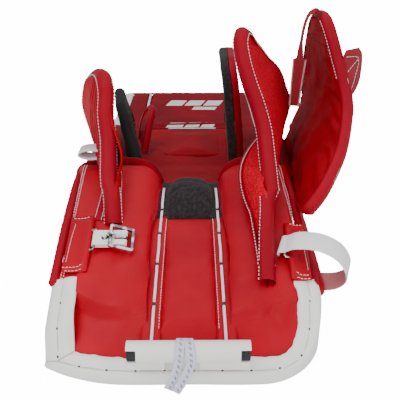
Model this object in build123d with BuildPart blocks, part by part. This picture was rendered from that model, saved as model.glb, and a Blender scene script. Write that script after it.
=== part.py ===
from build123d import *
import os

# Ice hockey goalie leg pad for the right leg, lying on its front face with the leg channel up.
# X runs from the inner (medial) side to the outer side, Y from the toe to the thigh, Z up.
# The origin is on the front face, under the middle of the knee. Millimetres.

# Stations along the pad
TOE_Y = -500
ANKLE_Y = -237
THIGH_BREAK_Y = 80
TOP_Y = 340
BREAK_GAP = 4  # half the slit left open at each break

# Plan widths, from the channel's centre line
INNER_TOE_X, OUTER_TOE_X = -138, 131
INNER_ANKLE_X, OUTER_ANKLE_X = -135, 116
INNER_KNEE_X, OUTER_KNEE_X = -138, 127
INNER_TOP_X, OUTER_TOP_X = -140, 130

# Side view: the front face arches from the toe over the ankle down to the knee
ANKLE_FACE_Z = 45
KNEE_FACE_Y = -20
COVER = 2.5  # coated face fabric
PLATE = 2  # polyethylene stiffener
GAP = 0.5  # slack between stacked layers
BINDING = 3
TOP_CORNER = 20
CEILING = 320
REACH = 260

# Groove beside the boot's centre panel, where the lace runs
TONGUE_TOE_X, TONGUE_ANKLE_X = 32, 27
GROOVE = 8
LACE_WIDTH = 5
LACE_THICKNESS = 2.2
LACE_PITCH = 48
LACE_GAP = 4

BOOT_END_Y = ANKLE_Y - BREAK_GAP
SHIN_START_Y = ANKLE_Y + BREAK_GAP
SHIN_END_Y = THIGH_BREAK_Y - BREAK_GAP
THIGH_START_Y = THIGH_BREAK_Y + BREAK_GAP

# Lines of the side view, as (y, z) points from the toe to the thigh
FACE = [(TOE_Y - 40, 0), (TOE_Y, 0), (ANKLE_Y, ANKLE_FACE_Z), (KNEE_FACE_Y, 0), (TOP_Y + 40, 0)]
BOOT_CORE_TOP = [(TOE_Y - 10, 20), (-465, 29), (-420, 40), (-340, 57), (ANKLE_Y, 82)]
BOLSTER_TOP = [(TOE_Y - 10, 28), (-465, 50), (-420, 72), (-340, 96), (-262, 118), (ANKLE_Y, 119)]
TONGUE_TOP = [(TOE_Y - 10, 26), (-465, 42), (-420, 58), (-340, 80), (ANKLE_Y, 96)]
ROLL_TOP = [(-314, 84), (-298, 97), (-280, 106), (-262, 105), (-246, 92)]
CHANNEL_FLOOR = [(ANKLE_Y, 84), (-120, 64), (0, 52), (THIGH_BREAK_Y, 48)]
SHIN_BOLSTER_TOP = [(ANKLE_Y, 117), (-100, 100), (0, 79), (THIGH_BREAK_Y, 60)]
THIGH_TOP = [(THIGH_BREAK_Y, 46), (TOP_Y + 20, 37)]

os.makedirs("parts", exist_ok=True)


def save(part, name):
    """Labels a finished piece and writes it as one STEP file."""
    part.label = name
    export_step(part, f"parts/{name}.step")


def height(line, y):
    """Height of a side-view line at y."""
    for (y0, z0), (y1, z1) in zip(line, line[1:]):
        if y <= y1:
            return z0 + (z1 - z0) * (y - y0) / (y1 - y0)
    return line[-1][1]


def raised(line, by, start, end):
    """A side-view line between two stations, moved up by a distance."""
    inner = [p for p in line if start < p[0] < end]
    stations = [(start, height(line, start)), *inner, (end, height(line, end))]
    return [(y, z + by) for y, z in stations]


def outline(points, plane=Plane.XY):
    """The face inside a closed line of points."""
    with BuildSketch(plane) as face:
        with BuildLine():
            Polyline(*points, close=True)
        make_face()
    return face.sketch


def between(low, high):
    """The side-view face enclosed by two lines."""
    return outline([*low, *reversed(high)], Plane.YZ)


def boot_plan(inset=0, strip=None):
    """The boot's plan, square at the inner toe corner and round at the outer one."""
    with BuildSketch() as plan:
        with BuildLine():
            Line((INNER_ANKLE_X, BOOT_END_Y), (INNER_TOE_X, TOE_Y + 20))
            ThreePointArc((INNER_TOE_X, TOE_Y + 20), (-104, TOE_Y + 6.5), (-62, TOE_Y))
            Line((-62, TOE_Y), (72, TOE_Y))
            ThreePointArc((72, TOE_Y), (113, TOE_Y + 19), (OUTER_TOE_X, TOE_Y + 63))
            Line((OUTER_TOE_X, TOE_Y + 63), (OUTER_ANKLE_X, BOOT_END_Y))
            Line((OUTER_ANKLE_X, BOOT_END_Y), (INNER_ANKLE_X, BOOT_END_Y))
        make_face()
        if inset:
            offset(amount=-inset, kind=Kind.INTERSECTION, mode=Mode.REPLACE)
        if strip:
            add(outline(strip), mode=Mode.INTERSECT)
    return plan.sketch


def shin_plan(inset=0):
    """The shin section's plan, a little wider at the knee than at the ankle."""
    return outline([
        (INNER_ANKLE_X + inset, SHIN_START_Y),
        (INNER_KNEE_X + inset, SHIN_END_Y),
        (OUTER_KNEE_X - inset, SHIN_END_Y),
        (OUTER_ANKLE_X - inset, SHIN_START_Y),
    ])


def thigh_plan(inset=0):
    """The thigh rise's plan, with round corners at the top."""
    with BuildSketch() as plan:
        with BuildLine():
            Polyline(
                (INNER_TOP_X + inset, THIGH_START_Y),
                (INNER_TOP_X + inset, TOP_Y - inset),
                (OUTER_TOP_X - inset, TOP_Y - inset),
                (OUTER_TOP_X - inset, THIGH_START_Y),
                close=True,
            )
        make_face()
        fillet(plan.vertices().group_by(Axis.Y)[-1], TOP_CORNER - inset)
    return plan.sketch


def slab(plan, low, high, start, end):
    """A layer with a plan polygon, lying between two side-view lines."""
    with BuildPart() as layer:
        extrude(plan, amount=CEILING)
        extrude(between(raised(*low, start, end), raised(*high, start, end)),
                amount=REACH, both=True, mode=Mode.INTERSECT)
    return layer.part


def boot_slab(inset, low, high, strip=None, end=BOOT_END_Y):
    """A layer with the boot's plan, or with the part of it inside a strip."""
    return slab(boot_plan(inset, strip), low, high, TOE_Y - 10, end)


def tray(plan_function, base_depth, wall_top, start, end):
    """The face cover: a sheet under the foam with walls up its sides."""
    outer = slab(plan_function(), (FACE, 0), wall_top, start, end)
    inner = slab(plan_function(COVER), (FACE, base_depth), (wall_top[0], wall_top[1] + 5), start, end)
    with BuildPart() as cover:
        add(outer)
        add(inner, mode=Mode.SUBTRACT)
    return cover.part


# ---------------------------------------------------------------- boot section


def boot_strip(side, toe_x, ankle_x):
    """Everything on one side of a line that runs along the groove."""
    return [
        (side * toe_x, TOE_Y - 20),
        (side * ankle_x, ANKLE_Y),
        (side * REACH, ANKLE_Y),
        (side * REACH, TOE_Y - 20),
    ]


def centre_strip(toe_x, ankle_x, start, end):
    """The strip between the two grooves."""
    return [(-toe_x, start), (-ankle_x, end), (ankle_x, end), (toe_x, start)]


def boot_pieces():
    shell = boot_slab(BINDING + 0.2, (FACE, 0), (BOOT_CORE_TOP, 0))
    hollow = boot_slab(BINDING + COVER, (FACE, COVER), (BOOT_CORE_TOP, 5))
    with BuildPart() as face:
        add(shell)
        add(hollow, mode=Mode.SUBTRACT)
    save(face.part, "boot_face_cover")

    inset = BINDING + COVER + GAP
    plate_low = COVER + GAP
    plate_high = plate_low + PLATE
    save(boot_slab(inset, (FACE, plate_low), (FACE, plate_high), end=BOOT_END_Y - 4), "boot_stiffener")
    save(boot_slab(inset, (FACE, plate_high + GAP), (BOOT_CORE_TOP, 0)), "boot_foam_core")

    bolster_toe_x = TONGUE_TOE_X + GROOVE
    bolster_ankle_x = TONGUE_ANKLE_X + GROOVE
    for side, name in ((-1, "inner"), (1, "outer")):
        strip = boot_strip(side, bolster_toe_x, bolster_ankle_x)
        layer = boot_slab(BINDING + 0.2, (BOOT_CORE_TOP, GAP), (BOLSTER_TOP, 0), strip)
        save(layer, f"{name}_boot_bolster")

    tongue_end = ROLL_TOP[0][0] - 2
    tongue = centre_strip(TONGUE_TOE_X, TONGUE_ANKLE_X + 2, TOE_Y - 20, tongue_end)
    layer = boot_slab(BINDING + 1, (BOOT_CORE_TOP, GAP), (TONGUE_TOP, 0), tongue, tongue_end)
    save(layer, "boot_tongue")


def ankle_roll():
    """Soft roll across the instep, between the tongue and the break."""
    start, end = ROLL_TOP[0][0], ROLL_TOP[-1][0]
    with BuildPart() as roll:
        with BuildSketch(Plane.YZ):
            with BuildLine():
                top = Spline(*ROLL_TOP)
                base = Polyline(
                    (end, height(BOOT_CORE_TOP, end) + GAP), (start, height(BOOT_CORE_TOP, start) + GAP)
                )
                Line(top @ 1, base @ 0)
                Line(base @ 1, top @ 0)
            make_face()
        extrude(amount=TONGUE_ANKLE_X, both=True)
        fillet(roll.edges().filter_by(Axis.X, reverse=True).sort_by(Axis.Z)[-2:], 8)
    save(roll.part, "ankle_roll")


def toe_binding():
    """Wear strip round the edge of the toe, from one side of the boot to the other."""
    with BuildSketch() as ring:
        add(boot_plan())
        add(boot_plan(BINDING), mode=Mode.SUBTRACT)
    save(slab(ring.sketch, (FACE, 0), (BOLSTER_TOP, 0), TOE_Y - 10, TOE_Y + 78), "toe_binding")


BRIDGE_Y, BRIDGE_Z = TOE_Y - 4, 45
BRIDGE_RADIUS = 10
BRIDGE_WALL = 1.8
BRIDGE_LENGTH = 112
BRIDGE_END_CUT = 9
SKIRT_WINDOW = (-22, 10)  # open part of the sleeve's skirt, where the tie passes


def toe_bridge():
    """Roll across the toe that the skate tie passes round: a sleeve with a skirt, and a foam core."""
    axis = Plane(origin=(-BRIDGE_LENGTH / 2, BRIDGE_Y, BRIDGE_Z), x_dir=(0, 1, 0), z_dir=(1, 0, 0))
    half = BRIDGE_LENGTH / 2
    with BuildSketch(Plane.XY.offset(22)) as skirt:
        add(boot_plan(-2))
        add(boot_plan(-0.3), mode=Mode.SUBTRACT)
        with Locations((0, TOE_Y)):
            Rectangle(BRIDGE_LENGTH, 60, mode=Mode.INTERSECT)
        with Locations((sum(SKIRT_WINDOW) / 2, TOE_Y)):
            Rectangle(SKIRT_WINDOW[1] - SKIRT_WINDOW[0], 60, mode=Mode.SUBTRACT)
    with BuildPart() as sleeve:
        extrude(skirt.sketch, amount=BRIDGE_Z - 24)
        with BuildSketch(axis):
            Circle(BRIDGE_RADIUS)
        extrude(amount=BRIDGE_LENGTH)
        with BuildSketch(axis):
            Circle(BRIDGE_RADIUS - BRIDGE_WALL)
        extrude(amount=BRIDGE_LENGTH, mode=Mode.SUBTRACT)
        for end in (-1, 1):
            with Locations((end * (half - BRIDGE_END_CUT / 2), BRIDGE_Y - BRIDGE_RADIUS, BRIDGE_Z)):
                Box(BRIDGE_END_CUT + 0.01, 2 * BRIDGE_RADIUS, 1.3 * BRIDGE_RADIUS, mode=Mode.SUBTRACT)
    save(sleeve.part, "toe_bridge_sleeve")

    with BuildPart() as core:
        with BuildSketch(axis.offset(0.5)):
            Circle(BRIDGE_RADIUS - BRIDGE_WALL - 0.3)
        extrude(amount=BRIDGE_LENGTH - 1)
    save(core.part, "toe_bridge_core")


TIE_WIDTH = 8
TIE_THICKNESS = 1.4
TIE_SLACK = 0.4


def toe_tie():
    """Flat skate tie: two turns round the bridge, each with a tail hanging in front of the toe."""
    inner_radius = BRIDGE_RADIUS + TIE_SLACK
    tails = ((-13, -24, 8), (3, -7, 5))  # x on the bridge, x at the tail's end, z at the tail's end
    with BuildPart() as tie:
        for turn_x, end_x, end_z in tails:
            across = Plane(origin=(turn_x, BRIDGE_Y, BRIDGE_Z), x_dir=(0, 1, 0), z_dir=(1, 0, 0))
            with BuildSketch(across.offset(-TIE_WIDTH / 2)):
                Circle(inner_radius + TIE_THICKNESS)
                Circle(inner_radius, mode=Mode.SUBTRACT)
            extrude(amount=TIE_WIDTH)
            front_y = BRIDGE_Y - inner_radius - TIE_THICKNESS / 2
            with BuildSketch(Plane.XY.offset(BRIDGE_Z)):
                with Locations((turn_x, front_y)):
                    Rectangle(TIE_WIDTH, TIE_THICKNESS)
            with BuildSketch(Plane.XY.offset(end_z)):
                with Locations((end_x, front_y - 7)):
                    Rectangle(TIE_WIDTH, TIE_THICKNESS)
            loft(mode=Mode.ADD)
    save(tie.part, "toe_tie")


def lace_run(toe_x, top_x, start, end, line, depth, name):
    """Flat lace woven through the seam beside the channel, one solid for each stretch that shows."""
    half = LACE_WIDTH / 2
    count = int((end - start) // LACE_PITCH)
    with BuildSketch() as runs:
        for side in (-1, 1):
            for i in range(count):
                y0 = start + i * LACE_PITCH
                y1 = y0 + LACE_PITCH - LACE_GAP
                x0 = side * (toe_x + (top_x - toe_x) * (y0 - start) / (end - start))
                x1 = side * (toe_x + (top_x - toe_x) * (y1 - start) / (end - start))
                add(outline([(x0 - half, y0), (x1 - half, y1), (x1 + half, y1), (x0 + half, y0)]))
    save(slab(runs.sketch, (line, -depth - LACE_THICKNESS), (line, -depth), start, end), name)


# ---------------------------------------------------------------- boot hardware

WIRE = 1.25
WIRE_PLAY = 0.35
FOLD = 1.6  # thickness of leather or webbing folded round a ring
RING_LENGTH, RING_WIDTH = 28, 9
RING_RISE = 25  # the rings' lift above the boot, in degrees
BOOT_SLOPE = 16.7  # rise of the bolsters under the tabs, in degrees
TAB_LIFT = 5.4  # height of the tabs' folds above the bolsters
TAB_LENGTH = 78
INNER_TAB_X, INNER_TAB_Y, INNER_TAB_WIDTH = -106, -381, 22
OUTER_TAB_X, OUTER_TAB_Y, OUTER_TAB_WIDTH = 105, -392, 17
STRAP_SPAN = 31  # from the ring's bar to the buckle's centre bar
STRAP_WIDTH = 20
BUCKLE_TILT = 20
BUCKLE_LEFT, BUCKLE_RIGHT, BUCKLE_HALF_WIDTH, BUCKLE_BAR = -17, 10, 16, 3.4


def seat(x, y):
    """The frame in a tab's fold, its y axis running up the boot's slope."""
    return Plane(origin=(x, y, height(BOLSTER_TOP, y) + TAB_LIFT)).rotated((BOOT_SLOPE, 0, 0))


def ring_end(tab_frame, side):
    """The frame in the ring bar that a strap goes round, parallel to the tab's frame."""
    rise = Vector(-side * RING_WIDTH, 0, 0).rotate(Axis.Y, side * RING_RISE)
    return Plane(tab_frame.from_local_coords(rise), tab_frame.x_dir, tab_frame.z_dir)


def ring_and_tab(frame, side, tab_width, ring_name, tab_name):
    """A wire ring whose outer bar turns inside the fold of a leather tab."""
    roll = WIRE + WIRE_PLAY + FOLD
    notch = 9  # the ring's ends need room to turn
    with BuildPart() as tab:
        with BuildSketch(Plane.XZ.offset(-TAB_LENGTH / 2)):
            Circle(roll)
            with Locations((side * tab_width / 2, 0.4 + FOLD - TAB_LIFT)):
                Rectangle(tab_width, 2 * FOLD)
            Circle(WIRE + WIRE_PLAY, mode=Mode.SUBTRACT)
        extrude(amount=TAB_LENGTH)
        for end in (-1, 1):
            with Locations((0, end * (RING_LENGTH / 2 + 1), 0)):
                Box(2 * roll + 3, notch, 2 * TAB_LIFT, mode=Mode.SUBTRACT)
    save(frame.location * tab.part, tab_name)

    risen = Plane.XY.rotated((0, side * RING_RISE, 0))
    with BuildPart() as ring:
        with BuildSketch(risen):
            with Locations((-side * RING_WIDTH / 2, 0)):
                RectangleRounded(RING_WIDTH + 2 * WIRE, RING_LENGTH + 2 * WIRE, 3)
                RectangleRounded(RING_WIDTH - 2 * WIRE, RING_LENGTH - 2 * WIRE, 0.8, mode=Mode.SUBTRACT)
        extrude(amount=WIRE, both=True)
        rims = ring.edges().filter_by(lambda e: abs(e.tangent_at(0.5).dot(risen.z_dir)) < 0.1)
        fillet(rims, 0.95 * WIRE)
    save(frame.location * ring.part, ring_name)


def buckle_strap(frame):
    """Short white strap folded round the ring and the buckle's centre bar, with its rivet."""
    rivet_x = STRAP_SPAN / 2 - 5
    with BuildPart() as strap:
        with BuildSketch(Plane.XZ.offset(-STRAP_WIDTH / 2)):
            with Locations((STRAP_SPAN / 2, 0)):
                SlotCenterToCenter(STRAP_SPAN, 5.2)
            with Locations((0, 0), (STRAP_SPAN, 0)):
                Circle(WIRE + WIRE_PLAY, mode=Mode.SUBTRACT)
        extrude(amount=STRAP_WIDTH)
        with Locations((STRAP_SPAN - 3, 0, 0)):
            Box(16, 6, 8, mode=Mode.SUBTRACT)
        with Locations((rivet_x, 0, 0)):
            Cylinder(1.6, 12, mode=Mode.SUBTRACT)
    save(frame.location * strap.part, "buckle_strap")

    with BuildPart() as rivet:
        with Locations((rivet_x, 0, 0)):
            Cylinder(1.5, 6)
        with BuildSketch(Plane(origin=(rivet_x, 0, 2.65))):
            Circle(4)
        extrude(amount=1.6, taper=45)
        with BuildSketch(Plane(origin=(rivet_x, 0, -3.6))):
            Circle(3.4)
        extrude(amount=0.9)
    save(frame.location * rivet.part, "buckle_rivet")


def buckle(frame):
    """Buckle frame turning on the strap's end, and the prong that turns on its centre bar."""
    turned = Plane(origin=(STRAP_SPAN, 0, 0)).rotated((0, BUCKLE_TILT, 0))
    length = BUCKLE_RIGHT - BUCKLE_LEFT
    width = 2 * BUCKLE_HALF_WIDTH
    with BuildPart() as loop:
        with BuildSketch(turned.offset(-BUCKLE_BAR / 2)):
            with Locations(((BUCKLE_LEFT + BUCKLE_RIGHT) / 2, 0)):
                RectangleRounded(length, width, 3)
                RectangleRounded(length - 2 * BUCKLE_BAR, width - 2 * BUCKLE_BAR, 1.2, mode=Mode.SUBTRACT)
        extrude(amount=BUCKLE_BAR)
        fillet(loop.edges().filter_by(lambda e: e.length > 10), 0.7)
        with BuildSketch(Plane.XZ.offset((BUCKLE_BAR - width) / 2)):
            with Locations((STRAP_SPAN, 0)):
                Circle(WIRE)
        extrude(amount=width - BUCKLE_BAR)
    save(frame.location * loop.part, "buckle_frame")

    prong_width = 3
    with BuildPart() as prong:
        with BuildSketch(Plane.XZ.offset(-prong_width / 2)):
            with Locations((STRAP_SPAN, 0)):
                Circle(WIRE + 1.6)
            with BuildLine():
                Polyline(
                    (STRAP_SPAN, 1.5), (STRAP_SPAN - 12.2, 6.8), (STRAP_SPAN - 16.6, 8.6),
                    (STRAP_SPAN - 17, 10), (STRAP_SPAN - 12, 8.4), (STRAP_SPAN, 3.2), close=True,
                )
            make_face()
            with Locations((STRAP_SPAN, 0)):
                Circle(WIRE + 0.2, mode=Mode.SUBTRACT)
        extrude(amount=prong_width)
    save(frame.location * prong.part, "buckle_prong")


def boot_strap(frame):
    """Long white strap from the outer ring, looping out past the pad's side and back under itself."""
    out = Vector(0.95, -0.31, 0)
    route = Plane(origin=(0, 0, 0), x_dir=out, z_dir=out.cross(Vector(0, 0, 1)))
    fold = WIRE + WIRE_PLAY + 1.2
    with BuildPart() as strap:
        with BuildSketch(route):
            with BuildLine():
                Spline((0, fold), (12, 12), (34, 17), (56, 9), (66, -8), (65, -24), (57, -36))
            trace(line_width=2.4)
        extrude(amount=12.5, both=True)
        with BuildSketch(Plane.XZ):
            Circle(fold + 1.2)
        extrude(amount=10, both=True)
        with BuildSketch(Plane.XZ):
            Circle(WIRE + WIRE_PLAY)
        extrude(amount=30, both=True, mode=Mode.SUBTRACT)
    save(frame.location * strap.part, "boot_strap")


def boot_side_roll():
    """Thin roll along the boot's outer side."""
    with BuildPart() as roll:
        with BuildLine() as path:
            Line((OUTER_TOE_X + 2, TOE_Y + 84, 52), (OUTER_ANKLE_X + 4, BOOT_END_Y - 12, 92))
        with BuildSketch(Plane(origin=path.line @ 0, z_dir=path.line % 0)):
            Circle(6)
        sweep(path=path.line)
        extrude(boot_plan(-0.6), amount=CEILING, mode=Mode.SUBTRACT)
    save(roll.part, "boot_side_roll")


# ---------------------------------------------------------------- shin, knee and thigh sections

LINER = 6
CHANNEL_HALF = [(SHIN_START_Y, 38), (-200, 48), (-140, 70), (-100, 84), (SHIN_END_Y, 88)]


def shin_pieces():
    start, end = SHIN_START_Y, SHIN_END_Y
    wall_top = (CHANNEL_FLOOR, -LINER - 1)
    save(tray(shin_plan, COVER, wall_top, start, end), "shin_face_cover")
    plate_low = COVER + GAP
    core_low = plate_low + PLATE + GAP
    inner_plan = shin_plan(COVER + GAP)
    save(slab(inner_plan, (FACE, plate_low), (FACE, plate_low + PLATE), start, end), "shin_stiffener")
    save(slab(inner_plan, (FACE, core_low), (CHANNEL_FLOOR, -LINER - GAP), start, end), "shin_foam_core")

    channel = [(-x, y) for y, x in CHANNEL_HALF] + [(x, y) for y, x in reversed(CHANNEL_HALF)]
    save(slab(outline(channel), (CHANNEL_FLOOR, -LINER), (CHANNEL_FLOOR, 0), start, end), "channel_liner")

    for side, name, ankle_x, knee_x in (
        (-1, "inner", -INNER_ANKLE_X, -INNER_KNEE_X),
        (1, "outer", OUTER_ANKLE_X, OUTER_KNEE_X),
    ):
        channel_edge = [(side * (x + 1), y) for y, x in CHANNEL_HALF]
        plan = outline([*channel_edge, (side * (knee_x - 1), end), (side * (ankle_x - 1), start)])
        layer = slab(plan, (CHANNEL_FLOOR, -LINER), (SHIN_BOLSTER_TOP, 0), start, end)
        save(layer, f"{name}_shin_bolster")

    with BuildSketch() as cradle:
        with Locations((0, -5)):
            RectangleRounded(84, 130, 20)
    save(slab(cradle.sketch, (CHANNEL_FLOOR, 0.4), (CHANNEL_FLOOR, 5), -72, 62), "knee_cradle")


def outer_roll():
    """Long foam roll that widens the pad's outer edge, from the ankle to the knee break."""
    radius = 13
    with BuildPart() as roll:
        with BuildLine() as path:
            Spline(
                (OUTER_ANKLE_X + 6, SHIN_START_Y + 14, 58),
                (OUTER_KNEE_X + 1, -110, 34),
                (OUTER_KNEE_X + 4, SHIN_END_Y - 12, 22),
            )
        with BuildSketch(Plane(origin=path.line @ 0, z_dir=path.line % 0)):
            Circle(radius)
        sweep(path=path.line)
        extrude(shin_plan(-1.2), amount=CEILING, mode=Mode.SUBTRACT)
    save(roll.part, "outer_roll")


SEAM_X = 85
CENTRE_HALF = 81
PATCH_BARS = (
    (-30, 250, 31, 36), (6, 250, 31, 36), (42, 250, 31, 36), (24, 212, 44, 18),
    (-27, 108, 28, 26), (3, 108, 24, 26), (30, 108, 22, 26), (1, 89, 82, 3),
)


def thigh_pieces():
    start, end = THIGH_START_Y, TOP_Y
    wall_top = (THIGH_TOP, -8)
    save(tray(thigh_plan, COVER, wall_top, start, end), "thigh_face_cover")
    plate_low = COVER + GAP
    core_low = plate_low + PLATE + GAP
    inner_plan = thigh_plan(COVER + GAP)
    inner_end = end - COVER - GAP
    save(slab(inner_plan, (FACE, plate_low), (FACE, plate_low + PLATE), start, inner_end), "thigh_stiffener")
    save(slab(inner_plan, (FACE, core_low), (THIGH_TOP, -8), start, inner_end), "thigh_foam_core")

    edge = 20  # the white face wraps this far on to the back
    centre = [(-CENTRE_HALF, start), (-CENTRE_HALF, end - 4), (CENTRE_HALF, end - 4), (CENTRE_HALF, start)]
    save(slab(outline(centre), (THIGH_TOP, -7.5), (THIGH_TOP, 0), start, end - 4), "thigh_liner")
    with BuildPart() as sides:
        for side, outer_x in ((-1, -INNER_TOP_X - edge), (1, OUTER_TOP_X - edge)):
            strip = [
                (side * (SEAM_X + 4), start),
                (side * (SEAM_X + 4), end - 4),
                (side * outer_x, end - 4),
                (side * outer_x, start),
            ]
            add(slab(outline(strip), (THIGH_TOP, -7.5), (THIGH_TOP, -1), start, end - 4))
    save(sides.part, "thigh_side_panels")

    with BuildSketch() as rim:
        add(thigh_plan())
        with Locations(((INNER_TOP_X + OUTER_TOP_X) / 2, start)):
            width = OUTER_TOP_X - INNER_TOP_X - 2 * (edge - 1)
            Rectangle(width, 2 * (end - 3 - start), mode=Mode.SUBTRACT)
    save(slab(rim.sketch, (THIGH_TOP, -7.5), (THIGH_TOP, -2), start, end), "thigh_edge_binding")

    with BuildSketch() as bars:
        for x, y, width, depth in PATCH_BARS:
            with Locations((x, y)):
                Rectangle(width, depth)
    save(slab(bars.sketch, (THIGH_TOP, 0.05), (THIGH_TOP, 0.55), start, end), "thigh_patch")


# ---------------------------------------------------------------- leg wraps

# Each wrap is a stack of three curved layers. Its rows climb from the hinge line to the top:
# (z, near x, near y, far x, far y, share of the full thickness)
INNER_CALF_WRAP = [
    (97, -82, -356, -83, -340, 0.35),
    (107, -83, -348, -86, -312, 0.8),
    (123, -86, -328, -92, -258, 1),
    (132, -88, -314, -122, -160, 1),
    (158, -91, -277, -138, -126, 1),
    (184, -95, -258, -134, -128, 1),
    (203, -95, -245, -124, -144, 1),
    (215, -96, -239, -116, -168, 0.9),
    (225, -98, -230, -107, -198, 0.6),
]
OUTER_CALF_WRAP = [
    (75, 80, -434, 79, -416, 0.35),
    (98, 82, -396, 75, -350, 0.8),
    (124, 86, -350, 67, -262, 1),
    (134, 86, -334, 118, -122, 1),
    (152, 85, -304, 132, -100, 1),
    (174, 83, -280, 125, -98, 1),
    (197, 76, -262, 116, -108, 1),
    (220, 67, -246, 98, -130, 1),
    (242, 60, -231, 84, -158, 0.9),
    (260, 57, -218, 72, -182, 0.7),
    (273, 58, -212, 66, -188, 0.5),
]
OUTER_LEG_WRAP = [
    (64, 142, -222, 143, -46, 0.35),
    (84, 144, -226, 152, -48, 0.8),
    (106, 130, -360, 158, -48, 1),
    (130, 144, -346, 168, -44, 1),
    (158, 171, -300, 169, -48, 1),
    (184, 186, -246, 167, -54, 1),
    (210, 184, -222, 165, -62, 1),
    (236, 178, -200, 164, -76, 1),
    (262, 171, -182, 162, -100, 0.9),
    (282, 165, -166, 161, -128, 0.6),
]
INNER_KNEE_WRAP = [
    (88, -92, -30, -94, -10, 0.35),
    (98, -88, -72, -98, 0, 0.8),
    (108, -83, -130, -102, 2, 1),
    (120, -78, -184, -106, 2, 1),
    (132, -81, -180, -108, -4, 1),
    (146, -87, -164, -108, -18, 1),
    (157, -96, -138, -106, -46, 0.7),
]
OUTER_KNEE_WRAP = [
    (67, 66, -110, 68, 60, 0.35),
    (84, 65, -112, 67, 62, 0.9),
    (110, 63, -112, 66, 64, 1),
    (145, 60, -108, 62, 62, 1),
    (175, 57, -102, 58, 52, 1),
    (195, 54, -90, 55, 32, 0.9),
    (206, 53, -72, 54, 6, 0.6),
]
KNEE_FLAP = [
    (62, -69, -60, -79, -8, 0.35),
    (80, -66, -46, -78, 8, 1),
    (98, -61, -24, -72, 16, 1),
    (112, -55, -8, -62, 18, 0.7),
]


def wrap_layer(rows, side, low, high, inset):
    """One layer of a wrap, between two distances from its middle surface towards the outside."""
    with BuildPart() as layer:
        for z, near_x, near_y, far_x, far_y, share in rows:
            near, far = Vector(near_x, near_y, z), Vector(far_x, far_y, z)
            along = (far - near).normalized()
            outward = along.cross(Vector(0, 0, 1)) * side
            centre = (near + far) * 0.5 + outward * share * (low + high) / 2
            length = max((far - near).length - 2 * inset, 6)
            with BuildSketch(Plane(origin=centre, x_dir=along, z_dir=(0, 0, 1))):
                Rectangle(length, share * (high - low))
        loft(ruled=True)
    return layer.part


def wrap(rows, side, thickness, lining, name):
    """A leg wrap: coated cover outside, plastic plate in the middle, padded lining towards the leg."""
    half = thickness / 2
    save(wrap_layer(rows, side, half - 3.5, half, 0), f"{name}_cover")
    save(wrap_layer(rows[1:-1], side, half - 3.5 - 2.4, half - 3.5 - 0.4, 5), f"{name}_plate")
    save(wrap_layer(rows, side, -half, half - 3.5 - 2.8, 0), f"{name}_{lining}")


def wraps():
    wrap(INNER_CALF_WRAP, -1, 20, "lining", "inner_calf_wrap")
    wrap(OUTER_CALF_WRAP, 1, 20, "lining", "outer_calf_wrap")
    wrap(OUTER_LEG_WRAP, 1, 22, "lining", "outer_leg_wrap")
    wrap(INNER_KNEE_WRAP, -1, 16, "lining", "inner_knee_wrap")
    wrap(OUTER_KNEE_WRAP, 1, 24, "lining", "outer_knee_wrap")
    save(wrap_layer(KNEE_FLAP, -1, -6, 6, 0), "knee_flap")


def ribbon(route, points, thickness, half_width, name):
    """A strap: a flat band that follows a curve drawn in one plane."""
    with BuildPart() as band:
        with BuildSketch(route):
            with BuildLine():
                Spline(*points)
            trace(line_width=thickness)
        extrude(amount=half_width, both=True)
    save(band.part, name)


def wrap_straps():
    """Hook-and-loop strap over the outer leg wrap, its fixed tail, and the loop on the inner calf wrap."""
    hang = Plane(origin=(0, -160, 0), x_dir=(1, 0, 0), z_dir=(0, -1, 0))
    ribbon(hang, [(159, 293), (150, 291), (144, 276), (142, 245), (141, 215), (140, 190), (141, 166)],
           2.6, 16, "wrap_strap")
    tail = Plane(origin=(0, -190, 0), x_dir=(1, 0, 0), z_dir=(0, -1, 0))
    ribbon(tail, [(197, 176), (203, 200), (206, 225), (200, 246)], 3, 19, "wrap_strap_tail")
    stub = Plane(origin=(0, -255, 0), x_dir=(1, 0, 0), z_dir=(0, -1, 0))
    ribbon(stub, [(-117, 144), (-125, 144.5), (-131, 141.5), (-131, 136.5), (-125, 133.5), (-117, 134)],
           2, 11, "calf_strap_loop")


boot_pieces()
ankle_roll()
toe_binding()
toe_bridge()
toe_tie()
LACE_TOE_X = TONGUE_TOE_X + GROOVE / 2
LACE_ANKLE_X = TONGUE_ANKLE_X + GROOVE / 2
lace_run(LACE_TOE_X, LACE_ANKLE_X, TOE_Y + 8, BOOT_END_Y, TONGUE_TOP, 2, "boot_laces")
INNER_TAB_FRAME = seat(INNER_TAB_X, INNER_TAB_Y)
OUTER_TAB_FRAME = seat(OUTER_TAB_X, OUTER_TAB_Y)
ring_and_tab(INNER_TAB_FRAME, -1, INNER_TAB_WIDTH, "inner_ring", "inner_ring_tab")
ring_and_tab(OUTER_TAB_FRAME, 1, OUTER_TAB_WIDTH, "outer_ring", "outer_ring_tab")
buckle_strap(ring_end(INNER_TAB_FRAME, -1))
buckle(ring_end(INNER_TAB_FRAME, -1))
boot_strap(ring_end(OUTER_TAB_FRAME, 1))
boot_side_roll()
shin_pieces()
outer_roll()
lace_run(SEAM_X, SEAM_X, THIGH_START_Y, TOP_Y - 4, THIGH_TOP, 2, "thigh_laces")
thigh_pieces()
wraps()
wrap_straps()
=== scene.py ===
import math
import random

import bmesh
import bpy
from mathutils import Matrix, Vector, noise
from mathutils.bvhtree import BVHTree
from mathutils.kdtree import KDTree


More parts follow.
